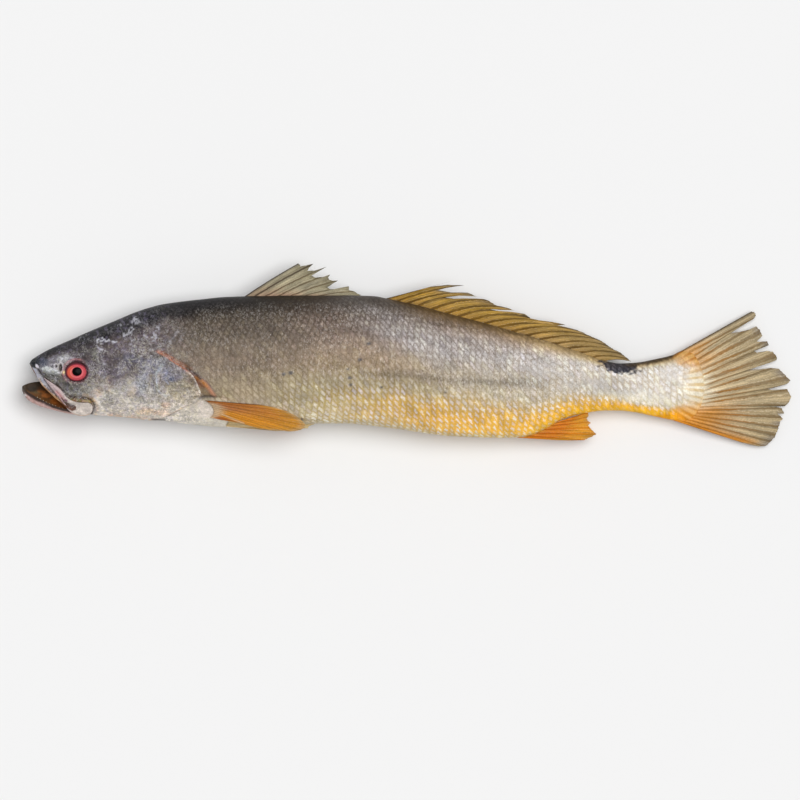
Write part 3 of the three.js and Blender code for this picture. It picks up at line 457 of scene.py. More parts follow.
def paint(x, y):
    """For each point of the head and trunk: its colour, the net colour between the scales (partly painted shade), the
    lit colour on them (painted highlight), and the weights (scale contrast, how wide the gaps are, how mottled the skin
    is, where flakes and painted glints show)."""
    yc, a, w, zc = section(x)
    f = np.clip((1 - (y - yc) / np.maximum(a, 0.5)) / 2, 0, 1)
    col = skin_colour(x, f)
    col = col * (1 + 0.60 * np.exp(-((x - 75) / 80) ** 2) * (1 - smooth(0.10, 0.22, f)))[..., None]
    big = fbm(x / 26, y / 16, 0, 3) - 0.5
    mid = fbm(x / 9, y / 6.5, 0, 5) - 0.5
    fine = fbm(x / 3.2, y / 2.6, 0, 7) - 0.5
    col = col * (1 + 0.30 * big + 0.30 * mid + 0.22 * fine)[..., None]
    # clouds of darker and of silvery scales on the rear flank
    cloud = fbm(x / 19 + 0.02 * y, y / 7, 0, 15) - 0.5
    rearup = smooth(-30, 40, x) * (1 - smooth(110, 160, x)) * (1 - smooth(0.45, 0.65, f))
    col = col * (1 + 0.55 * cloud * rearup)[..., None]

    scaled = smooth(-204, -168, x + 0.35 * (y - 10)) * (0.45 + 0.55 * smooth(0.02, 0.14, f))
    gold = smooth(0.60, 0.86, f + 0.08 * mid + 0.06 * big) * smooth(-90, 60, x) * (1 - 0.75 * smooth(0.94, 1.0, f) * (1 - smooth(80, 110, x)))
    gold = gold * (1 - 0.9 * smooth(160, 178, x) * (1 - smooth(0.80, 0.90, f)))
    solid = smooth(0.80, 0.96, f + 0.10 * mid) * smooth(76, 110, x) * (0.70 + 0.30 * smooth(125, 150, x))

    # on the scales a lighter copy of the skin colour as painted highlight (lit), between them a darker copy that is
    # partly the net's own colour and partly painted shade
    dark = 1 - smooth(0.20, 0.60, f)
    net_and_shade = col * np.array([0.60, 0.56, 0.50])
    lit = col * (1.35 + 0.45 * dark)[..., None]
    warm = smooth(0.30, 0.62, f) * smooth(-150, -40, x) * (1 - smooth(120, 180, x))
    net_and_shade = over(net_and_shade, OCHRE, 0.60 * warm)
    pale = smooth(30, 150, x) * smooth(0.10, 0.28, f) * (1 - smooth(0.6, 0.8, f))
    net_and_shade = over(net_and_shade, (190, 170, 140), 0.75 * pale)
    lit = over(lit, (245, 245, 240), 0.55 * pale + 0.45 * smooth(150, 185, x) * smooth(0.2, 0.35, f))
    net_and_shade = over(net_and_shade, (190, 165, 95), 0.6 * smooth(0.62, 0.85, f) * smooth(-130, -40, x))
    net_and_shade = over(net_and_shade, GOLD, 0.92 * gold)
    lit = over(lit, PEARL, 0.74 * smooth(0.50, 0.78, f) * smooth(-140, -20, x))
    lit = over(lit, GOLD, 0.80 * solid)
    net_and_shade = over(net_and_shade, GOLD, solid)
    col = over(col, GOLD, 0.90 * solid)
    contrast = scaled

    silver = np.exp(-(((x - 5) / 40) ** 2 + ((y - 12 + 0.45 * (x - 5)) / 13) ** 2)) + np.exp(-(((x - 95) / 55) ** 2 + ((y + 8 + 0.25 * (x - 95)) / 12) ** 2))
    silver = np.clip(silver * (0.5 + 1.4 * (fbm(x / 9, y / 5, 0, 23) - 0.2)), 0, 1)
    col, lit = over(col, (210, 210, 215), 0.38 * silver), over(lit, (245, 245, 245), 0.60 * silver)
    dim = 1 - 0.20 * np.exp(-((x - 150) / 34) ** 2) * smooth(0.25, 0.4, f) * (1 - smooth(0.6, 0.75, f))
    col, net_and_shade, lit = (v * dim[..., None] for v in (col, net_and_shade, lit))
    # darker line along the middle of the rear flank
    d, _ = to_line(x, y, [(-60,-13),(0,-17),(40,-21),(80,-22.5),(120,-23)])
    k = np.exp(-(d / 3.2) ** 2) * smooth(-60, -10, x) * (1 - smooth(90, 125, x))
    for v in (col, net_and_shade, lit):
        v *= (1 - 0.30 * k)[..., None]
    # dark base of the back fins
    d, _ = to_line(x, y, [(-135,45),(-50,45),(-10,42.1),(30,32),(56,25.4),(89,15.8),(108,10.1),(134,1.6),(154,-5.1)])
    ragged = 2.5 + 2.6 * (fbm(x / 3.5, y / 3.5, 0, 17) - 0.3)
    k = (1 - smooth(0.5, 1.25, d / ragged)) * smooth(-30, 10, x) * (0.60 - 0.32 * smooth(80, 115, x))
    col, net_and_shade, lit = over(col, (80, 60, 25), 0.88 * k), over(net_and_shade, (55, 40, 20), 0.88 * k), over(lit, (105, 85, 45), 0.80 * k)
    # blue-black saddle behind the second back fin
    d = np.hypot((x - 165.5) / 20.0, (y + 8.6 + 0.06 * (x - 162)) / 7.2) + 0.9 * (fbm(x / 2.6, y / 2.0, 0, 9) - 0.5)
    k = 1 - smooth(0.62, 1.02, d)
    col, net_and_shade, lit = over(col, (25, 30, 45), 0.96 * k), over(net_and_shade, (10, 10, 25), 0.97 * k), over(lit, (60, 65, 100), 0.85 * k)
    # brown upper edge of the tail stalk
    d, _ = to_line(x, y, [(166,-7.3),(178.6,-6.7),(193.4,-4.1),(206.7,-1.0),(216,2.7)])
    k = (1 - smooth(0.4, 1.3, d / (3.4 + 2.4 * (fbm(x / 2.2, y / 3, 0, 19) - 0.4)))) * smooth(166, 176, x)
    col, net_and_shade, lit = over(col, (60, 45, 30), 0.95 * k), over(net_and_shade, (35, 30, 20), 0.95 * k), over(lit, (95, 80, 55), 0.9 * k)
    # peach and gold bases of the tail rays
    for (px, py, rx, ry, c, s) in ((222,-5,15,8,(215, 165, 100),0.70), (222,-46,19,7,(225, 155, 40),0.9), (203,-50.5,22,4.5,(235, 150, 15),0.95)):
        d = np.hypot((x - px) / rx, (y - py) / ry) + 0.6 * (fbm(x / 3.4, y / 3.4, 0, 21) - 0.5)
        k = (1 - smooth(0.5, 1.15, d)) * s
        col, net_and_shade, lit = over(col, c, k), over(net_and_shade, c, 0.9 * k), over(lit, c, 0.8 * k)
    turn = np.arctan2(y + 24, x - 178)
    run = smooth(211, 229, x + 12 * (noise(turn * 16, 0, 0, 24) - 0.5) + 0.20 * np.abs(y + 24))
    streak = 0.5 + 0.5 * np.sin(turn * 62 + 2.0 * noise(turn * 20, 0, 0, 25))
    rim = smooth(6, 22, np.abs(y + 26))
    pale_ray, dark_ray = mix(tone((235, 225, 200), x), tone((215, 165, 95), x), rim), mix(tone((215, 185, 130), x), tone((180, 115, 35), x), rim)
    rayc = mix(pale_ray, dark_ray, smooth(0.45, 0.85, streak))
    col = mix(col, rayc, run * 0.9)
    net_and_shade, lit = mix(net_and_shade, rayc, run * 0.8), mix(lit, rayc, run * 0.6)
    contrast = contrast * (1 - 0.55 * run)
    # a dull spot above the anal fin, and specks on the flank
    for (px, py, r) in ((-96,-15.6,1.5),(-90.5,-14.8,1.7),(-44.5,-18.7,1.5),(-44,-24,1.3),(-36.6,-4.7,1.5),(-46,-12,1.2),(-20,-26,1.1),(30,-30,0.9),(-82,-51,1.2),(-30,8,1.4)):
        d = np.hypot((x - px) / (1.2 * r), (y - py) / r) + 0.7 * (fbm(x / 1.3, y / 1.3, 0, 31) - 0.5)
        k = 0.75 * (1 - smooth(0.5, 1.3, d))
        col, net_and_shade, lit = over(col, (70, 70, 80), k), over(net_and_shade, (60, 60, 70), k), over(lit, (90, 95, 105), k)

    # ---- head
    back = along(DORSAL, x)
    depth = back - y
    edge = 13 + 6.0 * (fbm(x / 7, y / 9, 0, 12) - 0.5) * 2
    edge = edge * (1 + 0.5 * np.exp(-((x + 205) / 30) ** 2))
    k = (1 - smooth(edge * 0.45, edge * 1.2, depth)) * (1 - smooth(-165, -100, x))
    topband = k
    col = over(col, (20, 20, 25), 0.90 * k * (1 - 0.5 * smooth(-285, -275, x) * (1 - smooth(-262, -252, x)) * smooth(3, 7, depth)))
    lit = over(lit, (60, 55, 55), 0.9 * k)
    net_and_shade = over(net_and_shade, (25, 20, 20), 0.85 * k)
    # snout: slate tip with a paler band, grey-white side, olive band under nostrils and eye
    d = np.hypot((x + 275) / 15, (y + 6.5 - 0.42 * (x + 275)) / 6.5) + 0.55 * (fbm(x / 3.0, y / 2.2, 0, 40) - 0.5)
    col = over(col, (140, 140, 150), 0.55 * (1 - smooth(0.4, 1.0, d)))
    d = np.hypot((x + 266) / 7, (y + 4) / 3.4) + 0.5 * (fbm(x / 2.0, y / 1.6, 0, 41) - 0.5)
    col = over(col, (210, 210, 215), 0.75 * (1 - smooth(0.5, 1.2, d)))
    d = np.hypot((x + 277.5) / 8, (y + 13.4 + 0.25 * (x + 277)) / 3.2) + 0.5 * (fbm(x / 2.0, y / 1.6, 0, 42) - 0.5)
    col = over(col, (225, 230, 230), 0.92 * (1 - smooth(0.5, 1.2, d)))
    d = np.hypot((x + 283.5) / 4.2, (y + 6.6) / 4.4) + 0.5 * (fbm(x / 2.0, y / 1.6, 0, 43) - 0.5)
    col = over(col, (70, 75, 90), 0.85 * (1 - smooth(0.5, 1.2, d)))
    d, u = to_line(x, y, [(-283,-16),(-277,-16.8),(-270,-19.5),(-266,-24),(-260.5,-28),(-252,-30.4),(-243,-32)])
    k = np.exp(-(d / (3.2 + 1.6 * u * (1 - u) * 4)) ** 2)
    col = over(col, (80, 80, 75), 0.88 * k * (1 - 0.4 * smooth(-250, -238, x)))
    tip = (1 - smooth(-288.9, -287.6, x - 0.25 * (y + 7))) * smooth(-12.0, -10.6, y)
    col = over(col, (20, 30, 40), 0.97 * tip)
    col = over(col, (120, 115, 115), 0.75 * np.exp(-((x - 0.25 * (y + 7) + 290.6) / 0.7) ** 2) * smooth(-12, -10, y))
    col = over(col, (40, 45, 55), 0.85 * np.exp(-((x - 0.05 * (y + 4) + 287.9) / 0.9) ** 2) * smooth(-10, -7, y))
    d = np.hypot((x + 288.2 + 0.5 * (y + 9.8)) / 1.5, (y + 9.8) / 2.1)
    col = over(col, (230, 225, 235), 0.95 * (1 - smooth(0.5, 1.2, d)))
    # grey behind the eye, pearl cheek with blotches
    d = np.hypot((x + 228) / 27, (y + 8) / 13)
    col = over(col, (80, 75, 80), 0.62 * (1 - smooth(0.3, 1.25, d + 0.5 * big)))
    for (px, py, rx, ry, c, s) in MARKS:
        d = np.hypot((x - px) / rx, (y - py) / ry) + 0.9 * (fbm(x / 3.8, y / 3.2, 0, 50 + int(abs(px)) % 9) - 0.5)
        col = over(col, c, s * (1 - smooth(0.45, 1.3, d)))
    d = np.hypot((x + 182.8) / 2.6, (y + 19.5) / 2.3) + 0.4 * (fbm(x / 2, y / 2, 0, 61) - 0.5)
    col = over(col, (65, 75, 105), 0.8 * (1 - smooth(0.5, 1.3, d)))
    wx, wy = x + 2.4 * (noise(x / 4, y / 4, 0, 70) - 0.5), y + 2.4 * (noise(x / 4, y / 4, 0, 71) - 0.5)
    for line, c, wd, s in BONES:
        d, _ = to_line(wx, wy, line)
        col = over(col, c, s * np.exp(-(d / wd) ** 2) * (0.5 + noise(x / 2.2, y / 2.2, 0, 72)))
    # short pale and dark flakes all over the head
    onhead = 1 - smooth(-196, -160, x + 0.2 * y)
    fl = fbm((x + 0.5 * y) / 1.0, (y - 0.3 * x) / 2.4, 0, 80, 2)
    col = over(col, (185, 180, 185), 0.22 * smooth(0.60, 0.78, fl) * onhead * smooth(-288, -280, x) * smooth(2, 9, along(DORSAL, x) - y))
    fl = fbm((x - 0.4 * y) / 1.3, (y + 0.35 * x) / 2.0, 0, 82, 2)
    col = over(col, (60, 55, 65), 0.32 * smooth(0.60, 0.76, fl) * onhead * (1 - 0.5 * smooth(0.7, 0.85, f)))
    fl = fbm(x / 2.6, y / 2.0, 0, 84, 2)
    col = over(col, (175, 165, 120), 0.22 * smooth(0.60, 0.76, fl) * onhead * smooth(0.35, 0.6, f))
    fl = fbm(x / 2.3, y / 2.4, 0, 86, 2)
    col = over(col, (150, 140, 170), 0.20 * smooth(0.60, 0.76, fl) * onhead)
    # painted highlights: pale glints along the GLINTS lines
    gx, gy = x + 4.0 * (noise(x / 1.6, y / 1.6, 0, 90) - 0.5), y + 4.0 * (noise(x / 1.6, y / 1.6, 0, 91) - 0.5)
    for line, wd, s in GLINTS:
        d, _ = to_line(gx, gy, line)
        col = over(col, (210, 210, 220), np.clip(1.0 * s, 0, 1) * np.exp(-(d / (0.95 * wd)) ** 2) * smooth(0.36, 0.66, noise(x / 1.3, y / 1.3, 0, 92)))
    col = over(col, (15, 20, 25), 0.9 * (1 - smooth(-290.4, -288.9, x - 0.25 * (y + 7))) * smooth(-12.0, -10.4, y))
    # round the eye
    e = np.hypot((x - EYE["x"]) / EYE["rx"], (y - EYE["y"]) / EYE["ry"])
    side = np.arctan2(y - EYE["y"], x - EYE["x"])
    col = over(col, (70, 60, 65), 0.40 * np.exp(-((e - 1.30) / 0.16) ** 2) * (0.4 + 0.6 * smooth(-0.4, 0.8, np.sin(side))))
    col = over(col, (195, 130, 135), 0.75 * np.exp(-((e - 1.16) / 0.09) ** 2) * smooth(-0.2, 0.8, np.cos(side - 2.5)))
    # painted shade: dark seam round the eyeball, darkest in the socket under it
    col = over(col, (105, 65, 75), 0.85 * np.exp(-((e - 1.01) / 0.08) ** 2))
    col = over(col, (45, 20, 30), 1 - smooth(0.93, 1.0, e))
    # nostrils: painted highlight on the raised rim round each, painted shade in each hole
    for (px, py, rx, ry, s) in ((-269.9,-10.7,1.0,2.2,1.0), (-273.5,-9.5,0.85,0.95,1.0), (-276.3,-9.6,1.1,1.0,0.45)):
        q = np.hypot((x - px) / rx, (y - py) / ry)
        col = over(col, (225, 220, 225), 0.65 * s * np.exp(-((q - 1.9) / 0.45) ** 2))
        col = over(col, (30, 10, 15), 0.97 * s * (1 - smooth(0.8, 1.45, q)))
    d = np.hypot((x + 267.2) / 0.9, (y + 14.4) / 1.3)
    col = over(col, (225, 205, 160), 0.85 * (1 - smooth(0.5, 1.4, d)))
    # lip: tan rim, then pale blue grey turning to mauve brown, then a dark groove of painted shade
    d, u = to_line(x, y, LIP_EDGE)
    g, _ = to_line(x, y, LIP_GROOVE)
    band = signed(x, y, LIP)
    lip = smooth(-0.5, 0.3, band) * smooth(-9.8, -11.6, y)
    lip = np.maximum(lip, (1 - smooth(1.6, 2.4, d)) * (x < -262.5) * smooth(-9.8, -11.6, y))
    col = mix(col, zone(((185, 185, 200), (120, 100, 100), (190, 165, 140)), x, ((-284, -277), (-275, -267))), 0.95 * np.clip(lip, 0, 1))
    col = over(col, (225, 170, 110), 0.95 * (1 - smooth(1.5, 2.5, d)) * (x < -262.5) * smooth(-287.5, -283, x))
    col = over(col, (185, 185, 195), 0.8 * (1 - smooth(0.6, 1.6, d)) * (1 - smooth(-288.5, -286, x)) * smooth(-10.0, -11.5, y))
    col = over(col, (35, 20, 20), 0.97 * np.exp(-(g / 0.85) ** 2) * (x < -261))
    # painted shade under the maxilla and in a thin rim round it, a brown mottled strip above its end, and painted shade
    # in the dark fold round it
    d = signed(x, y, MAXILLA)
    col = over(col, (60, 35, 30), 0.93 * smooth(-0.9, 0.2, d) * (x > -287))
    d, u = to_line(x, y, MOUTH_GAP)
    strip = (1 - smooth(2.6, 3.9, np.hypot((x + 261 - 8) / 3.1, (y + 36.6) / 0.95))) * smooth(-268, -263, x)
    blot = fbm(x / 1.8, y / 1.2, 0, 44)
    col = mix(col, mix(tone((155, 100, 45), x), tone((140, 135, 60), x), smooth(0.42, 0.6, blot)), 0.9 * np.clip(strip, 0, 1))
    width = 0.85 + 1.15 * np.exp(-((u - 0.50) / 0.17) ** 2)
    col = over(col, (50, 25, 10), 0.97 * np.exp(-(d / width) ** 2))
    col = over(col, (205, 175, 150), 0.5 * np.exp(-((d - 2.6) / 1.2) ** 2) * (u > 0.55) * (signed(x, y, MAXILLA) < 0))
    # throat edge
    bottom = along(VENTRAL, x)
    k = np.exp(-((y - bottom) / 2.2) ** 2) * smooth(-242, -230, x) * (1 - smooth(-205, -185, x))
    col = over(col, (210, 160, 105), 0.65 * k * smooth(0.30, 0.55, fbm(x / 3.5, y / 2.0, 0, 97)))
    # painted shade in the crease at the lower end of the gill cover
    d, _ = to_line(x, y, [(-198.5,-51.1),(-194,-52.0),(-189,-52.2)])
    col = over(col, (30, 20, 20), 0.97 * np.exp(-(d / 1.0) ** 2))
    # membrane behind the gill cover: thin and red along the top, then brown, with an orange fold at its edge
    d, u = to_line(x, y, [(-196,3.0),(-186,-1.6),(-176,-7.4),(-168,-12.6)])
    col = over(col, (180, 105, 70), 0.85 * np.exp(-(d / 1.35) ** 2) * smooth(0.0, 0.12, u))
    inn = smooth(-0.8, 0.8, signed(x, y, [(-174,-9.5),(-163,-15.2),(-155,-21.2),(-149.5,-28.5),(-146.6,-34.0),(-160,-34.4),(-162,-27),(-166,-20)]))
    col = mix(col, mix(tone((105, 50, 20), x), tone((120, 100, 75), x), smooth(-23, -29, y + 2.5 * (fbm(x / 2, y / 2, 0, 45) - 0.5))), 0.95 * inn)
    d, u = to_line(x, y, [(-163.5,-18.2),(-157.5,-22.8),(-153.5,-27.5),(-150.5,-32),(-148.8,-34.2)])
    col = mix(col, mix(tone((190, 120, 45), x), tone((190, 130, 100), x), smooth(0.3, 0.7, u)), 0.95 * np.clip(np.exp(-(d / 1.45) ** 2), 0, 1))
    # painted shadow under the free edge of the gill cover
    d, u = to_line(x, y, [(-171,-11.0),(-165.5,-15.0),(-160.5,-19.5)])
    col = over(col, (45, 25, 20), 0.95 * np.exp(-(d / 1.25) ** 2))
    d, u = to_line(x, y, [(-163.5,-14.6),(-158.5,-18.8),(-154,-23.5),(-149.5,-29)])
    col = over(col, (85, 85, 90), 0.6 * np.exp(-(d / 0.9) ** 2))
    # painted shadow along the top of the pectoral fin base, then an orange-brown line further back
    d, u = to_line(x, y, [(-160.8,-34.9),(-157.5,-33.9),(-152,-33.7),(-147,-34.4),(-140,-35.6),(-130,-37.0),(-118,-38.4)])
    k = np.exp(-(d / (1.5 - 0.9 * smooth(0.25, 0.6, u))) ** 2)
    col = over(col, (35, 25, 20), 0.95 * k * (1 - smooth(0.30, 0.45, u)))
    col = over(col, (150, 100, 45), 0.75 * k * smooth(0.30, 0.45, u) * (1 - smooth(0.7, 1.0, u)))
    # white fleshy base of the pectoral fin
    wedge = signed(x, y, [(-162,-36.0),(-153.5,-36.6),(-150,-41),(-146.6,-49.3),(-154,-50.5),(-164,-49)]) + 3.0 * (fbm(x / 3.4, y / 3.4, 0, 95) - 0.5)
    k = smooth(-0.8, 2.0, wedge)
    flesh = mix(tone((225, 210, 195), x), tone((190, 180, 165), x), smooth(0.42, 0.66, fbm(x / 2.0, y / 1.6, 0, 96)))
    col = mix(col, flesh, 0.9 * k)
    soft = smooth(-1.0, 1.0, inn - 0.5) + k
    contrast = contrast * np.clip(1 - soft, 0, 1)
    # pale skin under the shoulder
    k = smooth(0.74, 0.88, f) * smooth(-200, -175, x) * (1 - smooth(-130, -95, x))
    contrast = contrast * (1 - 0.6 * k)
    col = over(col, (220, 210, 200), 0.65 * k)
    lit = over(lit, (240, 235, 225), 0.7 * k)
    net_and_shade = over(net_and_shade, (185, 170, 130), 0.6 * k)

    # painted light: the lowest part of the flank made lighter against the shade on the belly's edge
    lift = 1 + 0.24 * smooth(0.82, 0.97, f)
    col, net_and_shade, lit = (v * lift[..., None] for v in (col, net_and_shade, lit))
    # where flakes break up the pattern of scales: the bright ones are painted glints of the wet skin, the dark ones the
    # skin's own colour
    flake_and_glint = (0.75 * smooth(-200, -160, x) + 0.25 * smooth(-120, -40, x)) * (1 - smooth(130, 175, x)) * (1 - smooth(0.55, 0.78, f)) * smooth(0.02, 0.10, f) * (0.55 + 0.45 * smooth(0.35, 0.6, fbm(x / 16, y / 7, 0, 26)))
    mottle = (1 - smooth(-200, -150, x + 0.3 * y)) * (1 - 0.75 * topband)
    wide = np.clip(gold * 0.9 + 0.25 * warm + 0.50 * (1 - smooth(0.12, 0.42, f)) * (1 - smooth(60, 130, x)), 0, 1)
    clip = lambda v: np.clip(v, 0.002, 0.93)
    return clip(col), clip(net_and_shade), clip(lit), contrast, wide, mottle, flake_and_glint


def relief(x, y, s, t, contrast):
    """Height of the skin's own detail, in mm."""
    k0 = np.floor(t)
    fr = t - k0
    par = np.mod(k0, 2) * 0.5
    ph0 = np.mod(s + 0.5 * fr - par, 1)
    ph1 = np.mod(s + 0.5 * (1 - fr) - (0.5 - par), 1)
    hi = np.maximum(ph0, ph1)
    out = contrast * 0.10 * (hi - 0.75)
    out = out + 0.5 * (fbm(x / 22, y / 14, 0, 100) - 0.5) * smooth(-290, -270, x)
    out = out + 0.35 * (fbm(x / 4, y / 3.4, 0, 101) - 0.5) * smooth(-290, -280, x) * (1 - smooth(-200, -160, x))
    # eye socket with a raised rim
    e = np.hypot((x - EYE["x"]) / EYE["rx"], (y - EYE["y"]) / EYE["ry"])
    out = out - 2.4 * (1 - smooth(0.80, 1.0, e)) + 0.75 * np.exp(-((e - 1.12) / 0.12) ** 2)
    for (px, py, rx, ry) in ((-269.9,-10.7,1.1,2.3), (-273.5,-9.5,0.95,1.0)):
        q = np.hypot((x - px) / rx, (y - py) / ry)
        out = out - 1.3 * (1 - smooth(0.5, 1.2, q)) + 0.4 * np.exp(-((q - 1.6) / 0.35) ** 2)
    # bulge of the snout skin between nostrils, lip and eye
    d, u = to_line(x, y, [(-284,-12),(-276,-16),(-268,-21),(-260,-26)])
    out = out + 0.8 * np.exp(-(d / 3.6) ** 2)
    # lip bead and groove
    d, u = to_line(x, y, LIP_EDGE)
    out = out + 0.9 * smooth(-0.8, 1.2, signed(x, y, LIP)) * smooth(-293, -288, x) * (1 - smooth(-272, -265, x))
    d, u = to_line(x, y, LIP_GROOVE)
    out = out - 1.5 * np.exp(-(d / 0.9) ** 2) * (1 - smooth(-264, -259, x))
    d = signed(x, y, MAXILLA)
    out = out - 1.0 * smooth(-1.4, 0.4, d) * (x > -287)
    d, u = to_line(x, y, MOUTH_GAP)
    out = out - 0.9 * np.exp(-(d / 1.3) ** 2) + 0.6 * np.exp(-((d - 3.0) / 1.6) ** 2) * (signed(x, y, MAXILLA) < 0)
    # cheek bones
    for line, wd, s_ in (
        (((-190,-9),(-194,-14),(-195.5,-21),(-194,-28),(-189,-34)), 1.4, 0.35),
        (((-193,-11),(-197.5,-17),(-198.5,-24),(-196,-31)), 1.2, -0.4),
        (((-203,-13),(-208,-20),(-209,-29),(-204,-37),(-196,-42)), 1.6, 0.4),
        (((-212,-38),(-204,-41),(-195,-40),(-186,-37),(-176,-36)), 1.6, 0.35),
        (((-222,2),(-226,-10),(-225,-24),(-218,-38),(-206,-46)), 3.0, 0.45)):
        d, _ = to_line(x, y, line)
        out = out + s_ * np.exp(-(d / wd) ** 2)
    # recess under the gill cover, and the slit behind its free edge
    inn = signed(x, y, COVER)
    df, _ = to_line(x, y, GILL_FRONT)
    dr, u = to_line(x, y, GILL_REAR)
    v = df / (df + dr + 1e-6)
    out = np.where(inn > 0, out * (1 - smooth(0, 3, inn)) - smooth(0, 2.5, inn) * (0.75 + 0.7 * v), out)
    slit = np.exp(-(np.maximum(dr, 0) / 3.0) ** 2) * (inn <= 0) * smooth(0.02, 0.14, u) * (1 - smooth(0.90, 1.0, u))
    out = out - 1.15 * slit
    # fold of skin along the membrane, and the flesh of the pectoral base
    d, u = to_line(x, y, [(-163.5,-18.2),(-157.5,-22.8),(-153.5,-27.5),(-150.5,-32),(-148.8,-34.2)])
    out = out + 0.8 * np.exp(-(d / 1.4) ** 2)
    d = np.hypot((x + 155) / 9, (y + 43.5) / 7)
    out = out + 1.0 * np.exp(-(d / 0.8) ** 2)
    d, _ = to_line(x, y, [(-160.8,-34.9),(-157.5,-33.9),(-152,-33.7),(-147,-34.4),(-140,-35.6)])
    out = out - 1.2 * np.exp(-(d / 1.2) ** 2)
    d, _ = to_line(x, y, [(-198.5,-51.1),(-194,-52.0),(-189,-52.2)])
    out = out - 1.0 * np.exp(-(d / 1.1) ** 2)
    # scaled sheath of the anal fin
    d, u = to_line(x, y, [(92,-64.5),(100,-61.5),(107.6,-58.7),(116,-53.0),(128,-48.0),(140,-45.5)])
    out = out + 0.5 * np.exp(-(d / 2.4) ** 2)
    return out


def lattice(x, arc):
    """Rows and columns of the scales: s runs to the tail and t to the back, one unit a scale."""
    front_up = (1 - smooth(-90, 10, x))
    arc2 = arc + front_up * 0.42 * np.maximum(arc - 8, 0) ** 2 / (np.maximum(arc - 8, 0) + 12)
    lean = 2.4 * arc - front_up * 1.3 * np.maximum(arc - 10, 0)
    stretch = x + 0.0 * arc
    wob = 0.55 * (fbm(x / 30, arc / 22, 0, 120) - 0.5)
    s = (5.2 * stretch + lean * 1.0) / 28.76 + wob
    t = (5.3 * arc2 - 0.5 * x) / 28.76 + 0.6 * (fbm(x / 34, arc / 26, 0, 121) - 0.5)
    return s, t


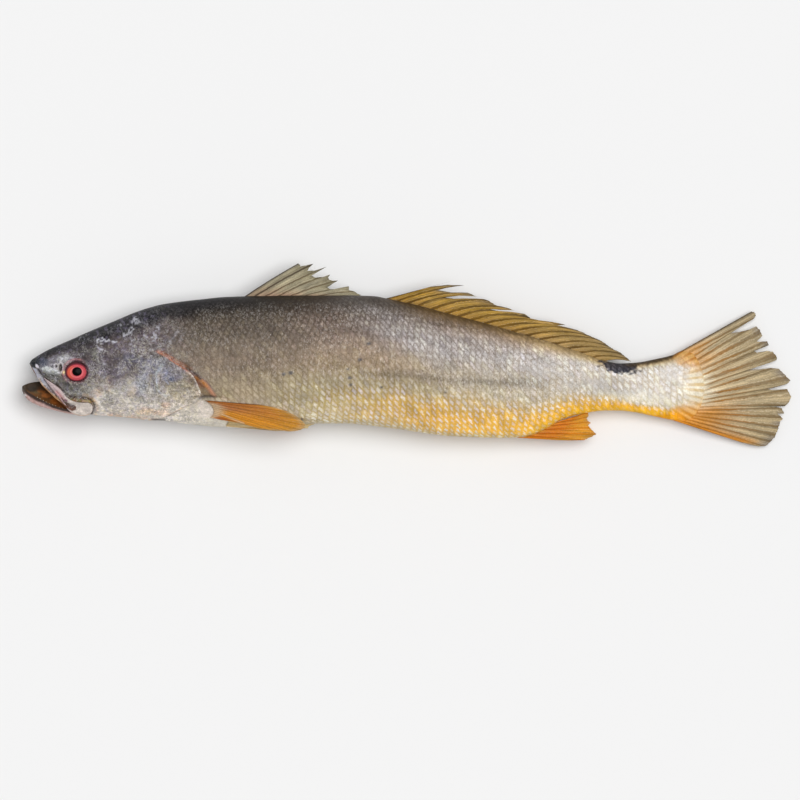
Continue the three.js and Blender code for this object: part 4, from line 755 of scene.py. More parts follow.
def body():
    # stations: closer on the head
    n1, n2 = 250, 470
    u = np.linspace(0, 1, n1, endpoint=False)
    xs = -294.5 + 104.5 * (0.75 * u + 0.25 * u * u * (3 - 2 * u)) ** 1.12
    xs = np.concatenate([xs, np.linspace(-190.0, 233.2, n2)])
    xs = np.unique(np.concatenate([[-294.45, -294.3, -294.1, -293.7], xs, [232.6, 232.95, 233.1]]))
    up, down = 180, 92
    th = np.concatenate([np.linspace(0, np.pi, up, endpoint=False), np.linspace(np.pi, 2 * np.pi, down, endpoint=False)])
    X, T = np.meshgrid(xs, th, indexing="ij")
    yc, a, w, zc = section(X)
    hy, hz = np.cos(T), np.sin(T)
    mouth = (1 - smooth(-262, -252, X))
    n = np.where(hy > 0, BACK_POWER, BELLY_POWER)
    r = (np.abs(hy) ** n + np.abs(hz) ** n) ** (-1 / n)
    y = yc + a * hy * r
    z = zc + w * hz * r
    # the palate: hollow under the snout between the lips
    zeta = np.abs(z - zc) / np.maximum(w, 0.1)
    rise = 0.42 * a * mouth * smooth(-292, -284, X)
    hollow = np.where(hy < 0, np.clip(1 - (zeta / 0.78) ** 2, 0, 1), 0)
    y = y + rise * hollow
    # the lips fill the outline beside the hollow
    low = np.where(hy < 0, y, 1e9).min(1, keepdims=True)
    want = along(VENTRAL, X[:, :1])
    scale = np.where(mouth[:, :1] > 0.01, (yc[:, :1] - want) / np.maximum(yc[:, :1] - low, 0.5), 1)
    scale = np.clip(scale, 1, 1.35)
    y = np.where(hy < 0, yc + (y - yc) * (1 + (scale - 1) * mouth), y)
    P = np.stack([X, y, z], -1)
    dx = np.gradient(P, axis=0)
    dt = np.roll(P, -1, 1) - np.roll(P, 1, 1)
    N = np.cross(dx, dt)
    N /= np.maximum(np.linalg.norm(N, axis=-1, keepdims=True), 1e-9)
    centre = np.stack([X, yc, zc], -1)
    N *= np.sign(np.einsum("ijk,ijk->ij", N, P - centre).mean()) or 1
    # arc length from the middle of each flank, towards the back
    step = np.linalg.norm(np.roll(P, -1, 1) - P, axis=-1)
    cum = np.concatenate([np.zeros((len(xs), 1)), np.cumsum(step, 1)[:, :-1]], 1)
    q = up // 2
    arc = np.where(np.arange(len(th))[None, :] < up, cum[:, q:q+1] - cum, cum - cum[:, up + down // 2: up + down // 2 + 1])
    s, t = lattice(X, arc)
    col, net_and_shade, lit, contrast, wide, mottle, flake_and_glint = paint(X, y)
    palate = mouth * np.where(hy < -0.2, smooth(0.86, 0.70, zeta), 0)
    palate = np.clip(palate, 0, 1)
    col = mix(col, rgb(130, 80, 50) * np.ones_like(col), palate)
    contrast, mottle = contrast * (1 - palate), mottle * (1 - palate)
    disp = relief(X, y, s, t, contrast) * (1 - palate)
    disp = disp * smooth(0.0, 6.0, w) * (1 - 0.6 * smooth(0.93, 1.0, np.abs(hy)))
    P = P + N * disp[..., None]
    P[..., 2] = np.maximum(P[..., 2], 0.02)
    nx, nt = X.shape
    verts = P.reshape(-1, 3)
    idx = np.arange(nx * nt).reshape(nx, nt)
    nxt = np.roll(idx, -1, 1)
    quads = np.stack([idx[:-1].ravel(), idx[1:].ravel(), nxt[1:].ravel(), nxt[:-1].ravel()], 1)
    # the ends are closed with one point each
    ends = np.array([[xs[0] - 0.05, yc[0, 0], zc[0, 0]], [xs[-1] + 0.05, yc[-1, 0], zc[-1, 0]]])
    base = len(verts)
    verts = np.concatenate([verts, ends])
    tris = np.concatenate([np.stack([idx[0], nxt[0], np.full(nt, base)], 1)[:, ::-1], np.stack([idx[-1], nxt[-1], np.full(nt, base + 1)], 1)])
    q4, _ = outward(verts, quads)
    t3 = tris if np.array_equal(q4, quads) else tris[:, ::-1]
    flat = lambda v, fill: np.concatenate([v.reshape(nx * nt, -1), np.repeat(np.atleast_2d(fill), 2, 0)])
    attrs = {
        "skin": ("FLOAT_COLOR", flat(col, [0.03, 0.03, 0.04])),
        "net_and_shade": ("FLOAT_COLOR", flat(net_and_shade, [0.03, 0.03, 0.04])),
        "lat": ("FLOAT_VECTOR", flat(np.stack([s, t, contrast], -1), [0, 0, 0])),
        "lit": ("FLOAT_COLOR", flat(lit, [0.03, 0.03, 0.04])),
        "fx": ("FLOAT_VECTOR", flat(np.stack([flake_and_glint, mottle, wide], -1), [1, 1, 0])),
    }
    return verts, [(q4, 4), (t3, 3)], attrs


# ------------------------------------------------------------------------------ materials
def skin_material():
    g = Nodes("fish_skin")
    s, t, con = g.xyz(g.attr("lat", "Vector"))
    flake_and_glint, mottle, wide = g.xyz(g.attr("fx", "Vector"))
    p = g.place()
    wx, wy, wz = g.xyz(g.noise(p, 300.0, 3.0, out=1))
    s = g.m("ADD", g.m("MULTIPLY", s, 1.10), g.m("MULTIPLY", g.m("SUBTRACT", wx, 0.5), 0.70))
    t = g.m("ADD", g.m("MULTIPLY", t, 1.10), g.m("MULTIPLY", g.m("SUBTRACT", wy, 0.5), 0.70))
    k0 = g.m("FLOOR", t)
    fr = g.m("SUBTRACT", t, k0)
    par = g.m("MULTIPLY", g.m("FLOORED_MODULO", k0, 2.0), 0.5)
    a0 = g.m("SUBTRACT", g.m("ADD", s, g.m("MULTIPLY", g.m("POWER", fr, 1.25), 0.5)), par)
    a1 = g.m("SUBTRACT", g.m("ADD", s, g.m("MULTIPLY", g.m("POWER", g.m("SUBTRACT", 1.0, fr), 1.25), 0.5)), g.m("SUBTRACT", 0.5, par))
    ph0, ph1 = g.m("FRACT", a0), g.m("FRACT", a1)
    hi, lo = g.m("MAXIMUM", ph0, ph1), g.m("MINIMUM", ph0, ph1)
    first = g.m("GREATER_THAN", ph0, ph1)
    row = g.m("ADD", k0, g.m("SUBTRACT", 1.0, first))
    idx = g.m("FLOOR", g.m("ADD", g.m("MULTIPLY", a0, first), g.m("MULTIPLY", a1, g.m("SUBTRACT", 1.0, first))))
    rnd = g.node("ShaderNodeTexWhiteNoise", 0, Vector=g.vec(row, idx, 0.5))
    rnd2 = g.node("ShaderNodeTexWhiteNoise", 0, Vector=g.vec(idx, row, 3.5))
    rnd3 = g.node("ShaderNodeTexWhiteNoise", 0, Vector=g.vec(row, idx, 7.5))
    # each scale shows as a soft irregular patch, wider apart on the gold belly
    e = g.m("MINIMUM", lo, g.m("SUBTRACT", 1.0, hi))
    fine = g.noise(p, 760.0, 3.0, 0.6)
    e = g.m("ADD", e, g.m("MULTIPLY", g.m("SUBTRACT", fine, 0.5), 0.50))
    start = g.m("ADD", -0.04, g.m("MULTIPLY", wide, 0.19))
    cell = g.ramp(e, start, g.m("ADD", start, g.m("SUBTRACT", 0.40, g.m("MULTIPLY", wide, 0.20))), 0.0, 1.0)
    cell = g.m("MULTIPLY", cell, g.m("ADD", 0.45, g.m("MULTIPLY", rnd, 0.55)))
    # thin fresh streaks of skin show over and between the scales
    hair = g.noise(g.place(1.0, 0.55, 1.0), 900.0, 3.0, 0.65, 1.0)
    cell = g.m("MULTIPLY", cell, g.ramp(hair, 0.32, 0.62, 0.55, 1.12, "LINEAR"), clamp=True)
    # scale faces in the lit colour (painted highlight), their edges in the net colour (partly painted shade)
    scales = g.mixc(cell, g.attr("net_and_shade"), g.attr("lit"))
    # some scales stay dark, some flash with a painted highlight, some are lilac or olive
    tone_ = g.m("ADD", 0.80, g.m("MULTIPLY", rnd2, 0.40))
    scales = g.mixc(1.0, scales, g.node("ShaderNodeCombineColor", 0, Red=tone_, Green=tone_, Blue=tone_), "MULTIPLY")
    spark = g.ramp(g.noise(p, 1050.0, 2.0, 0.5), 0.60, 0.72)
    flash = g.m("MULTIPLY", g.m("MULTIPLY", g.ramp(rnd3, 0.55, 0.95), spark), g.m("MULTIPLY", cell, 0.75))
    scales = g.mixc(flash, scales, (0.86, 0.84, 0.86))
    scales = g.mixc(g.m("MULTIPLY", g.ramp(rnd3, 0.45, 0.15), 0.22), scales, g.mixc(1.0, scales, (1.02, 0.93, 1.20), "MULTIPLY"))
    scales = g.mixc(g.m("MULTIPLY", g.ramp(rnd2, 0.6, 0.9), 0.25), scales, g.mixc(1.0, scales, (0.94, 1.06, 0.80), "MULTIPLY"))
    # the pattern fades in and out over the flank
    show = g.m("MULTIPLY", con, g.ramp(g.noise(g.place(1.0, 1.6, 1.0), 70.0, 3.0), 0.36, 0.58, g.m("ADD", 0.50, g.m("MULTIPLY", wide, 0.50)), 1.0))
    show = g.m("MULTIPLY", show, g.m("SUBTRACT", 1.0, g.m("MULTIPLY", flake_and_glint, 0.22)))
    col = g.mixc(show, g.attr("skin"), scales)
    # bright flakes as painted glints and dark flakes of the skin's own colour, short and upright
    f1 = g.noise(g.place(1.25, 0.60, 1.0), 560.0, 3.0, 0.65, 1.2)
    f2 = g.noise(g.place(1.10, 0.75, 1.0), 430.0, 3.0, 0.65, 1.5)
    col = g.mixc(g.m("MULTIPLY", g.ramp(f1, 0.52, 0.61), g.m("MULTIPLY", flake_and_glint, 0.62)), col, g.mixc(0.45, g.mixc(1.0, col, (1.9, 1.9, 1.95), "MULTIPLY"), (0.62, 0.60, 0.58)))
    col = g.mixc(g.m("MULTIPLY", g.ramp(f2, 0.47, 0.38), g.m("MULTIPLY", flake_and_glint, 0.64)), col, g.mixc(1.0, col, (0.50, 0.46, 0.42), "MULTIPLY"))
    # speckle on the head, in grains and in short streaks that change tint
    sp1 = g.noise(g.place(1.0, 1.0, 1.0), 210.0, 2.0, 0.55, 1.6)
    sp2 = g.noise(g.place(0.55, 1.20, 1.0), 230.0, 2.0, 0.55, 2.4)
    speck = g.m("MULTIPLY", g.ramp(sp1, 0.32, 0.68, 0.74, 1.26, "LINEAR"), g.ramp(sp2, 0.34, 0.66, 0.70, 1.30, "LINEAR"))
    speck = g.m("ADD", g.m("MULTIPLY", speck, mottle), g.m("SUBTRACT", 1.0, mottle))
    col = g.mixc(1.0, col, g.node("ShaderNodeCombineColor", 0, Red=speck, Green=speck, Blue=speck), "MULTIPLY")
    # pale and dark veins
    for scale, c, k in ((230.0, (0.66, 0.66, 0.70), 0.60), (150.0, (0.62, 0.60, 0.52), 0.50), (190.0, (0.06, 0.05, 0.07), 0.65), (330.0, (0.09, 0.07, 0.06), 0.55)):
        vein = g.noise(g.place(1.0, 0.8, 1.0), scale, 3.0, 0.6, 1.8)
        line = g.ramp(g.m("ABSOLUTE", g.m("SUBTRACT", vein, 0.5)), 0.0, 0.035, k, 0.0)
        line = g.m("MULTIPLY", line, g.m("MULTIPLY", mottle, g.ramp(g.noise(p, scale * 0.4, 2.0), 0.42, 0.60)))
        col = g.mixc(line, col, c)
    tint = g.noise(p, 240.0, 3.0, 0.6, 0.5)
    col = g.mixc(g.m("MULTIPLY", g.ramp(tint, 0.52, 0.66), g.m("MULTIPLY", mottle, 0.5)), col, g.mixc(1.0, col, (1.00, 0.94, 1.14), "MULTIPLY"))
    col = g.mixc(g.m("MULTIPLY", g.ramp(tint, 0.48, 0.34), g.m("MULTIPLY", mottle, 0.5)), col, g.mixc(1.0, col, (1.06, 1.02, 0.78), "MULTIPLY"))
    # grain everywhere
    grain = g.noise(g.place(1.0, 0.8, 1.0), 1500.0, 2.0)
    light = g.ramp(grain, 0.25, 0.75, g.m("ADD", 0.76, g.m("MULTIPLY", mottle, 0.12)), g.m("SUBTRACT", 1.24, g.m("MULTIPLY", mottle, 0.12)), "LINEAR")
    broad = g.noise(g.place(1.0, 2.0, 1.0), 95.0, 4.0)
    light = g.m("MULTIPLY", light, g.ramp(broad, 0.28, 0.72, 0.86, 1.14, "LINEAR"))
    col = g.mixc(1.0, col, g.node("ShaderNodeCombineColor", 0, Red=light, Green=light, Blue=light), "MULTIPLY")
    # relief: scale edges, fine teeth and grain
    h = g.m("MULTIPLY", g.m("MULTIPLY", cell, con), 0.55)
    h = g.m("ADD", h, g.m("MULTIPLY", g.noise(g.place(0.6, 1.6, 1.0), 1500.0, 2.0), 0.30))
    h = g.m("ADD", h, g.m("MULTIPLY", g.m("MULTIPLY", sp2, mottle), 1.1))
    h = g.m("ADD", h, g.m("MULTIPLY", g.m("MULTIPLY", hair, con), 0.5))
    nrm = g.bump(h, 0.00045, 0.8)
    rough = g.m("SUBTRACT", 0.50, g.m("MULTIPLY", mottle, 0.10))
    rough = g.m("ADD", rough, g.m("MULTIPLY", g.m("SUBTRACT", grain, 0.5), 0.25))
    g.skin(col, rough, nrm, coat=0.03, coat_rough=0.18, spec=0.13, coat_normal=g.bump(h, 0.0003, 0.5))
    return g.mat


def eye_material():
    g = Nodes("fish_eye")
    u, v, up = g.xyz(g.attr("iris", "Vector"))
    r = g.node("ShaderNodeVectorMath", 1, {"operation": "LENGTH"}, _0=g.vec(g.m("SUBTRACT", u, 0.03), g.m("SUBTRACT", v, 0.02), 0.0))
    ang = g.m("ARCTAN2", v, u)
    fib = g.noise(g.vec(g.m("MULTIPLY", ang, 3.0), g.m("MULTIPLY", r, 2.0), 0.0), 5.0, 3.0)
    lid = g.node("ShaderNodeVectorMath", 1, {"operation": "LENGTH"}, _0=g.vec(u, g.m("MULTIPLY", g.m("ADD", v, 0.06), 1.14), 0.0))
    r2 = g.m("ADD", lid, g.m("MULTIPLY", g.m("SUBTRACT", fib, 0.5), 0.06))
    red = g.mixc(g.ramp(fib, 0.3, 0.7), rgb(185, 60, 75), rgb(215, 100, 105))
    red = g.mixc(g.m("MULTIPLY", g.ramp(u, -0.15, -0.65), 0.7), red, rgb(225, 105, 70))
    pale = g.m("MULTIPLY", g.m("MULTIPLY", g.ramp(r2, 0.42, 0.50), g.ramp(r2, 0.62, 0.52)), 0.5)
    red = g.mixc(pale, red, rgb(245, 140, 140))
    red = g.mixc(g.ramp(r2, 0.76, 0.86), red, rgb(125, 50, 60))
    red = g.mixc(g.ramp(r2, 0.88, 0.98), red, rgb(75, 40, 45))
    rim = g.ramp(r, 0.39, 0.44)
    col = g.mixc(rim, rgb(5, 5, 5), red)
    g.skin(col, 0.30, None, coat=0.02, coat_rough=0.05, spec=0.04)
    return g.mat


def plain_skin(name, rough=0.38, coat=0.5, bump=0.35, scale=500.0, spec=0.5):
    """Skin that takes its colour from the mesh, with a fine grain: jaws, lips."""
    g = Nodes(name)
    grain = g.noise(g.place(), scale, 4.0, 0.6, 0.6)
    fine = g.noise(g.place(), scale * 3, 2.0)
    light = g.m("MULTIPLY", g.ramp(grain, 0.25, 0.75, 0.72, 1.26, "LINEAR"), g.ramp(fine, 0.25, 0.75, 0.84, 1.16, "LINEAR"))
    col = g.mixc(1.0, g.attr("skin"), g.node("ShaderNodeCombineColor", 0, Red=light, Green=light, Blue=light), "MULTIPLY")
    h = g.m("ADD", grain, g.m("MULTIPLY", fine, 0.4))
    g.skin(col, g.ramp(fine, 0.3, 0.7, rough - 0.08, rough + 0.1, "LINEAR"), g.bump(h, 0.0004, bump), coat=coat, coat_rough=0.12, spec=spec)
    return g.mat


def fin_material(name, edge_dark=0.2, alpha=1.0, ray_width=0.16, branches=3.0, streak=1.0):
    """Rays at whole u, with finer branches towards the edge, in the mesh's ray colour; web between them in its skin colour."""
    g = Nodes(name)
    u, v, edge = g.xyz(g.attr("fin", "Vector"))
    p = g.place()
    wob = g.m("MULTIPLY", g.m("SUBTRACT", g.noise(p, 260.0, 2.0), 0.5), 0.30)
    uu = g.m("ADD", u, wob)
    near = g.m("ABSOLUTE", g.m("SUBTRACT", g.m("FRACT", g.m("ADD", uu, 0.5)), 0.5))
    ray = g.ramp(near, ray_width * 0.25, ray_width, 1.0, 0.0)
    nb = g.m("ABSOLUTE", g.m("SUBTRACT", g.m("FRACT", g.m("MULTIPLY", uu, branches)), 0.5))
    br = g.m("MULTIPLY", g.ramp(nb, 0.26, 0.5, 0.0, 0.85), g.ramp(v, 0.10, 0.5, 0.2, 1.0))
    lines = g.m("MAXIMUM", ray, g.m("MULTIPLY", br, streak))
    long = g.noise(g.vec(g.m("MULTIPLY", u, 6.0), g.m("MULTIPLY", v, 2.6), 0.0), 1.0, 4.0, 0.7)
    lines = g.m("MULTIPLY", lines, g.ramp(long, 0.3, 0.62, 0.25, 1.0))
    joints = g.noise(g.vec(g.m("MULTIPLY", u, 4.0), g.m("MULTIPLY", v, 46.0), 0.0), 1.0, 3.0)
    col = g.mixc(lines, g.attr("skin"), g.attr("ray"))
    fine = g.noise(p, 1300.0, 2.0)
    light = g.m("MULTIPLY", g.ramp(long, 0.28, 0.72, 0.64, 1.38, "LINEAR"), g.ramp(joints, 0.25, 0.75, 0.84, 1.16, "LINEAR"))
    light = g.m("MULTIPLY", light, g.ramp(fine, 0.25, 0.75, 0.86, 1.14, "LINEAR"))
    light = g.m("MULTIPLY", light, g.m("SUBTRACT", 1.0, g.m("MULTIPLY", edge, edge_dark)))
    # a pale highlight beside each ray
    glint = g.m("MULTIPLY", g.ramp(g.m("ABSOLUTE", g.m("SUBTRACT", near, 0.24)), 0.0, 0.07, 0.28, 0.0), g.ramp(joints, 0.45, 0.6))
    col = g.mixc(1.0, col, g.node("ShaderNodeCombineColor", 0, Red=light, Green=light, Blue=light), "MULTIPLY")
    col = g.mixc(glint, col, (0.80, 0.74, 0.62))
    h = g.m("ADD", g.m("MULTIPLY", lines, 0.7), g.m("MULTIPLY", joints, 0.2))
    h = g.m("ADD", h, g.m("MULTIPLY", long, 0.5))
    n = g.skin(col, 0.42, g.bump(h, 0.0005, 0.7), coat=0.05, coat_rough=0.2, spec=0.20)
    # light comes through the web
    tr = g.t.nodes.new("ShaderNodeBsdfTranslucent")
    g.link(col, tr.inputs["Color"])
    mx = g.t.nodes.new("ShaderNodeMixShader")
    g.link(0.25, mx.inputs[0])
    g.t.links.new(n.outputs[0], mx.inputs[1])
    g.t.links.new(tr.outputs[0], mx.inputs[2])
    g.t.links.new(mx.outputs[0], g.out.inputs["Surface"])
    if alpha < 1:
        clear = g.t.nodes.new("ShaderNodeBsdfTransparent")
        m2 = g.t.nodes.new("ShaderNodeMixShader")
        g.link(g.m("MULTIPLY", g.m("MULTIPLY", g.m("SUBTRACT", 1.0, lines), g.ramp(v, 0.35, 1.0)), 1.0 - alpha), m2.inputs[0])
        g.t.links.new(mx.outputs[0], m2.inputs[1])
        g.t.links.new(clear.outputs[0], m2.inputs[2])
        g.t.links.new(m2.outputs[0], g.out.inputs["Surface"])
    return g.mat


SKIN_MAT = skin_material()
EYE_MAT = eye_material()
LIP_MAT = plain_skin("fish_lip", 0.40, 0.08, 0.35, 420.0, 0.20)
JAW_MAT = plain_skin("fish_jaw", 0.42, 0.06, 0.4, 380.0, 0.16)

verts, faces, attrs = body()
make("fish_body", verts, faces, attrs, SKIN_MAT, "body")


# ------------------------------------------------------------------------------ gill covers
def gill_cover(side, name):
    n, m = 96, 64
    fr, re = resample(GILL_FRONT, n), resample(GILL_REAR, n)
    v = np.linspace(0, 1, m) ** 0.9
    X = fr[:, None, 0] * (1 - v) + re[:, None, 0] * v
    Y = fr[:, None, 1] * (1 - v) + re[:, None, 1] * v
    V = np.broadcast_to(v, X.shape)
    U = np.broadcast_to(np.linspace(0, 1, n)[:, None], X.shape)
    # the free edge is a little ragged
    wav = 0.5 * (fbm(U * 9, 0, 0, 130) - 0.5) * smooth(0.8, 1, V)
    X = X + wav * 1.5
    base = skin_z(X, Y, 1)
    yc, a, w, zc = section(X)
    ends = smooth(0, 0.06, U) * smooth(1, 0.94, U)
    out = -0.35 + 0.45 * smooth(0.0, 0.10, V) + 0.95 * smooth(0.15, 0.97, V) * (0.35 + 0.65 * ends)
    out = out - 0.55 * smooth(0.955, 1.0, V)
    for line, wd, s_ in (
        (((-190,-9),(-194,-14),(-195.5,-21),(-194,-28),(-189,-34)), 1.3, 0.45),
        (((-193,-11),(-197.5,-17),(-198.5,-24),(-196,-31)), 1.2, -0.5),
        (((-203,-13),(-208,-20),(-209,-29),(-204,-37),(-196,-42)), 1.6, 0.4),
        (((-212,-38),(-204,-41),(-195,-40),(-186,-37),(-176,-36)), 1.5, 0.45),
        (((-188,-8),(-180,-17),(-172,-25)), 1.8, 0.35), (((-189,-34),(-180,-31),(-170,-30)), 1.6, 0.3)):
        d, _ = to_line(X, Y, line)
        out = out + s_ * np.exp(-(d / wd) ** 2) * smooth(0.0, 0.15, V) * smooth(1.0, 0.9, V)
    out = out + 0.5 * (fbm(X / 5, Y / 4, 0, 131) - 0.5) * smooth(0, 0.2, V)
    thick = 1.15 * smooth(0, 0.12, V) + 0.12 - 0.25 * smooth(0.9, 1, V)
    height = base + out
    lower = base + out - thick
    if side < 0:
        height, lower = 2 * zc - height, 2 * zc - lower
        height = np.maximum(height, 0.03)
        lower = np.maximum(lower, height + 0.3)
    top = np.stack([X, Y, height], -1)
    bottom = np.stack([X, Y, lower], -1)
    verts, q = two_sided(top, bottom)
    col, net_and_shade, lit, contrast, wide, mottle, flake_and_glint = paint(X, Y)
    # undo the colours meant for what lies behind the cover
    d, _ = to_line(X, Y, WHITE_EDGE)
    col = mix(col, rgb(225, 220, 205) * np.ones_like(col), 0.9 * np.exp(-(d / 0.75) ** 2) * smooth(0.80, 0.92, V))
    rim_ = smooth(0.94, 0.995, V)
    col = over(col, (190, 180, 165), 0.45 * rim_ * (1 - smooth(0.0, 0.30, U)))
    top_ = smooth(0.90, 0.98, V) * smooth(0.02, 0.08, U) * smooth(0.42, 0.30, U)
    col = over(col, (185, 110, 75), 0.8 * top_)
    low = smooth(0.62, 0.85, U) * smooth(0.92, 0.99, V)
    col = over(col, (215, 165, 120), 0.55 * low)
    both = lambda v: np.concatenate([v.reshape(n * m, -1)] * 2)
    inner = np.concatenate([col.reshape(-1, 3), np.broadcast_to(rgb(170, 95, 85), (n * m, 3))])
    zero = np.zeros(X.shape)
    make(name, verts, [(q, 4)], {
        "skin": ("FLOAT_COLOR", inner), "net_and_shade": ("FLOAT_COLOR", both(net_and_shade)), "lit": ("FLOAT_COLOR", both(lit)),
        "lat": ("FLOAT_VECTOR", both(np.stack([zero, zero, zero], -1))),
        "fx": ("FLOAT_VECTOR", both(np.stack([zero + 0.9, zero + 0.9, zero], -1)))}, SKIN_MAT,
        ("left" if side > 0 else "right") + "_gill_cover")


gill_cover(1, "fish_left_gill_cover")
gill_cover(-1, "fish_right_gill_cover")


# ------------------------------------------------------------------------------ upper jaw bones
def maxilla(side, name):
    n, m = 110, 30
    upc, loc = resample(MAX_UP, n), resample(MAX_LOW, n)
    v = np.linspace(0, 1, m)
    X = upc[:, None, 0] * (1 - v) + loc[:, None, 0] * v
    Y = upc[:, None, 1] * (1 - v) + loc[:, None, 1] * v
    U = np.broadcast_to(np.linspace(0, 1, n)[:, None], X.shape)
    V = np.broadcast_to(v, X.shape)
    yc, a, w, zc = section(X)
    h = np.clip((Y - yc) / a, -0.80, 0.80)
    base = zc + w * bulge(h)
    prof = np.sqrt(np.clip(1 - (2 * V - 1) ** 4, 0, 1)) * (0.4 + 0.6 * smooth(1.0, 0.93, U)) * smooth(0, 0.05, U)
    ridge = 0.35 * np.exp(-((V - 0.35) / 0.15) ** 2) * smooth(0.9, 0.5, U)
    out = 0.45 + 1.15 * prof + ridge + 0.35 * (fbm(X / 3.5, Y / 2.5, 0, 140) - 0.5)
    # crease that splits the bone from the flap of its lip
    out = out - 0.55 * np.exp(-((V - 0.62) / 0.07) ** 2) * smooth(0.12, 0.3, U) * smooth(0.80, 0.62, U)
    top, low = base + out, base - 0.1 - 0.5 * prof
    if side < 0:
        top, low = 2 * zc - top, 2 * zc - low
    verts, q = two_sided(np.stack([X, Y, top], -1), np.stack([X, Y, low], -1))
    k = np.ones(X.shape + (3,))
    col = rgb(200, 180, 180) * k
    col = over(col, (150, 135, 140), smooth(0.55, 0.9, V) * smooth(0.55, 0.35, U) * 0.8)
    d, _ = to_line(X, Y, [(-273, -29.5), (-270.5, -32), (-268.3, -35)])
    col = over(col, (215, 150, 150), 0.8 * np.exp(-(d / 1.2) ** 2))
    rear = smooth(-265.5, -261.5, X + 0.4 * (Y + 40))
    col = over(col, (205, 195, 185), 0.9 * rear)
    col = over(col, (175, 165, 160), 0.6 * rear * smooth(0.45, 0.62, fbm(X / 3, Y / 2.4, 0, 143)))
    d = np.hypot((X + 266.4) / 1.9, (Y + 36.7) / 1.7)
    col = over(col, (110, 60, 80), 0.85 * (1 - smooth(0.5, 1.3, d + 0.5 * (fbm(X / 1.5, Y / 1.5, 0, 141) - 0.5))))
    edge = smooth(0.09, 0.0, V) * 0.65 + smooth(0.985, 1.0, U) * 0.6 + smooth(0.94, 1.0, V) * 0.45 * smooth(0.7, 0.4, U)
    col = over(col, (80, 50, 40), np.clip(edge, 0, 0.85))
    col = over(col, (215, 175, 140), 0.6 * smooth(0.90, 1.0, V) * smooth(0.5, 0.75, U))
    col = np.clip(col * (0.80 + 0.42 * fbm(X / 1.9, Y / 1.6, 0, 142))[..., None], 0, 0.9)
    both = np.concatenate([col.reshape(-1, 3)] * 2)
    make(name, verts, [(q, 4)], {"skin": ("FLOAT_COLOR", both)}, LIP_MAT, ("left" if side > 0 else "right") + "_maxilla")


maxilla(1, "fish_left_maxilla")
maxilla(-1, "fish_right_maxilla")


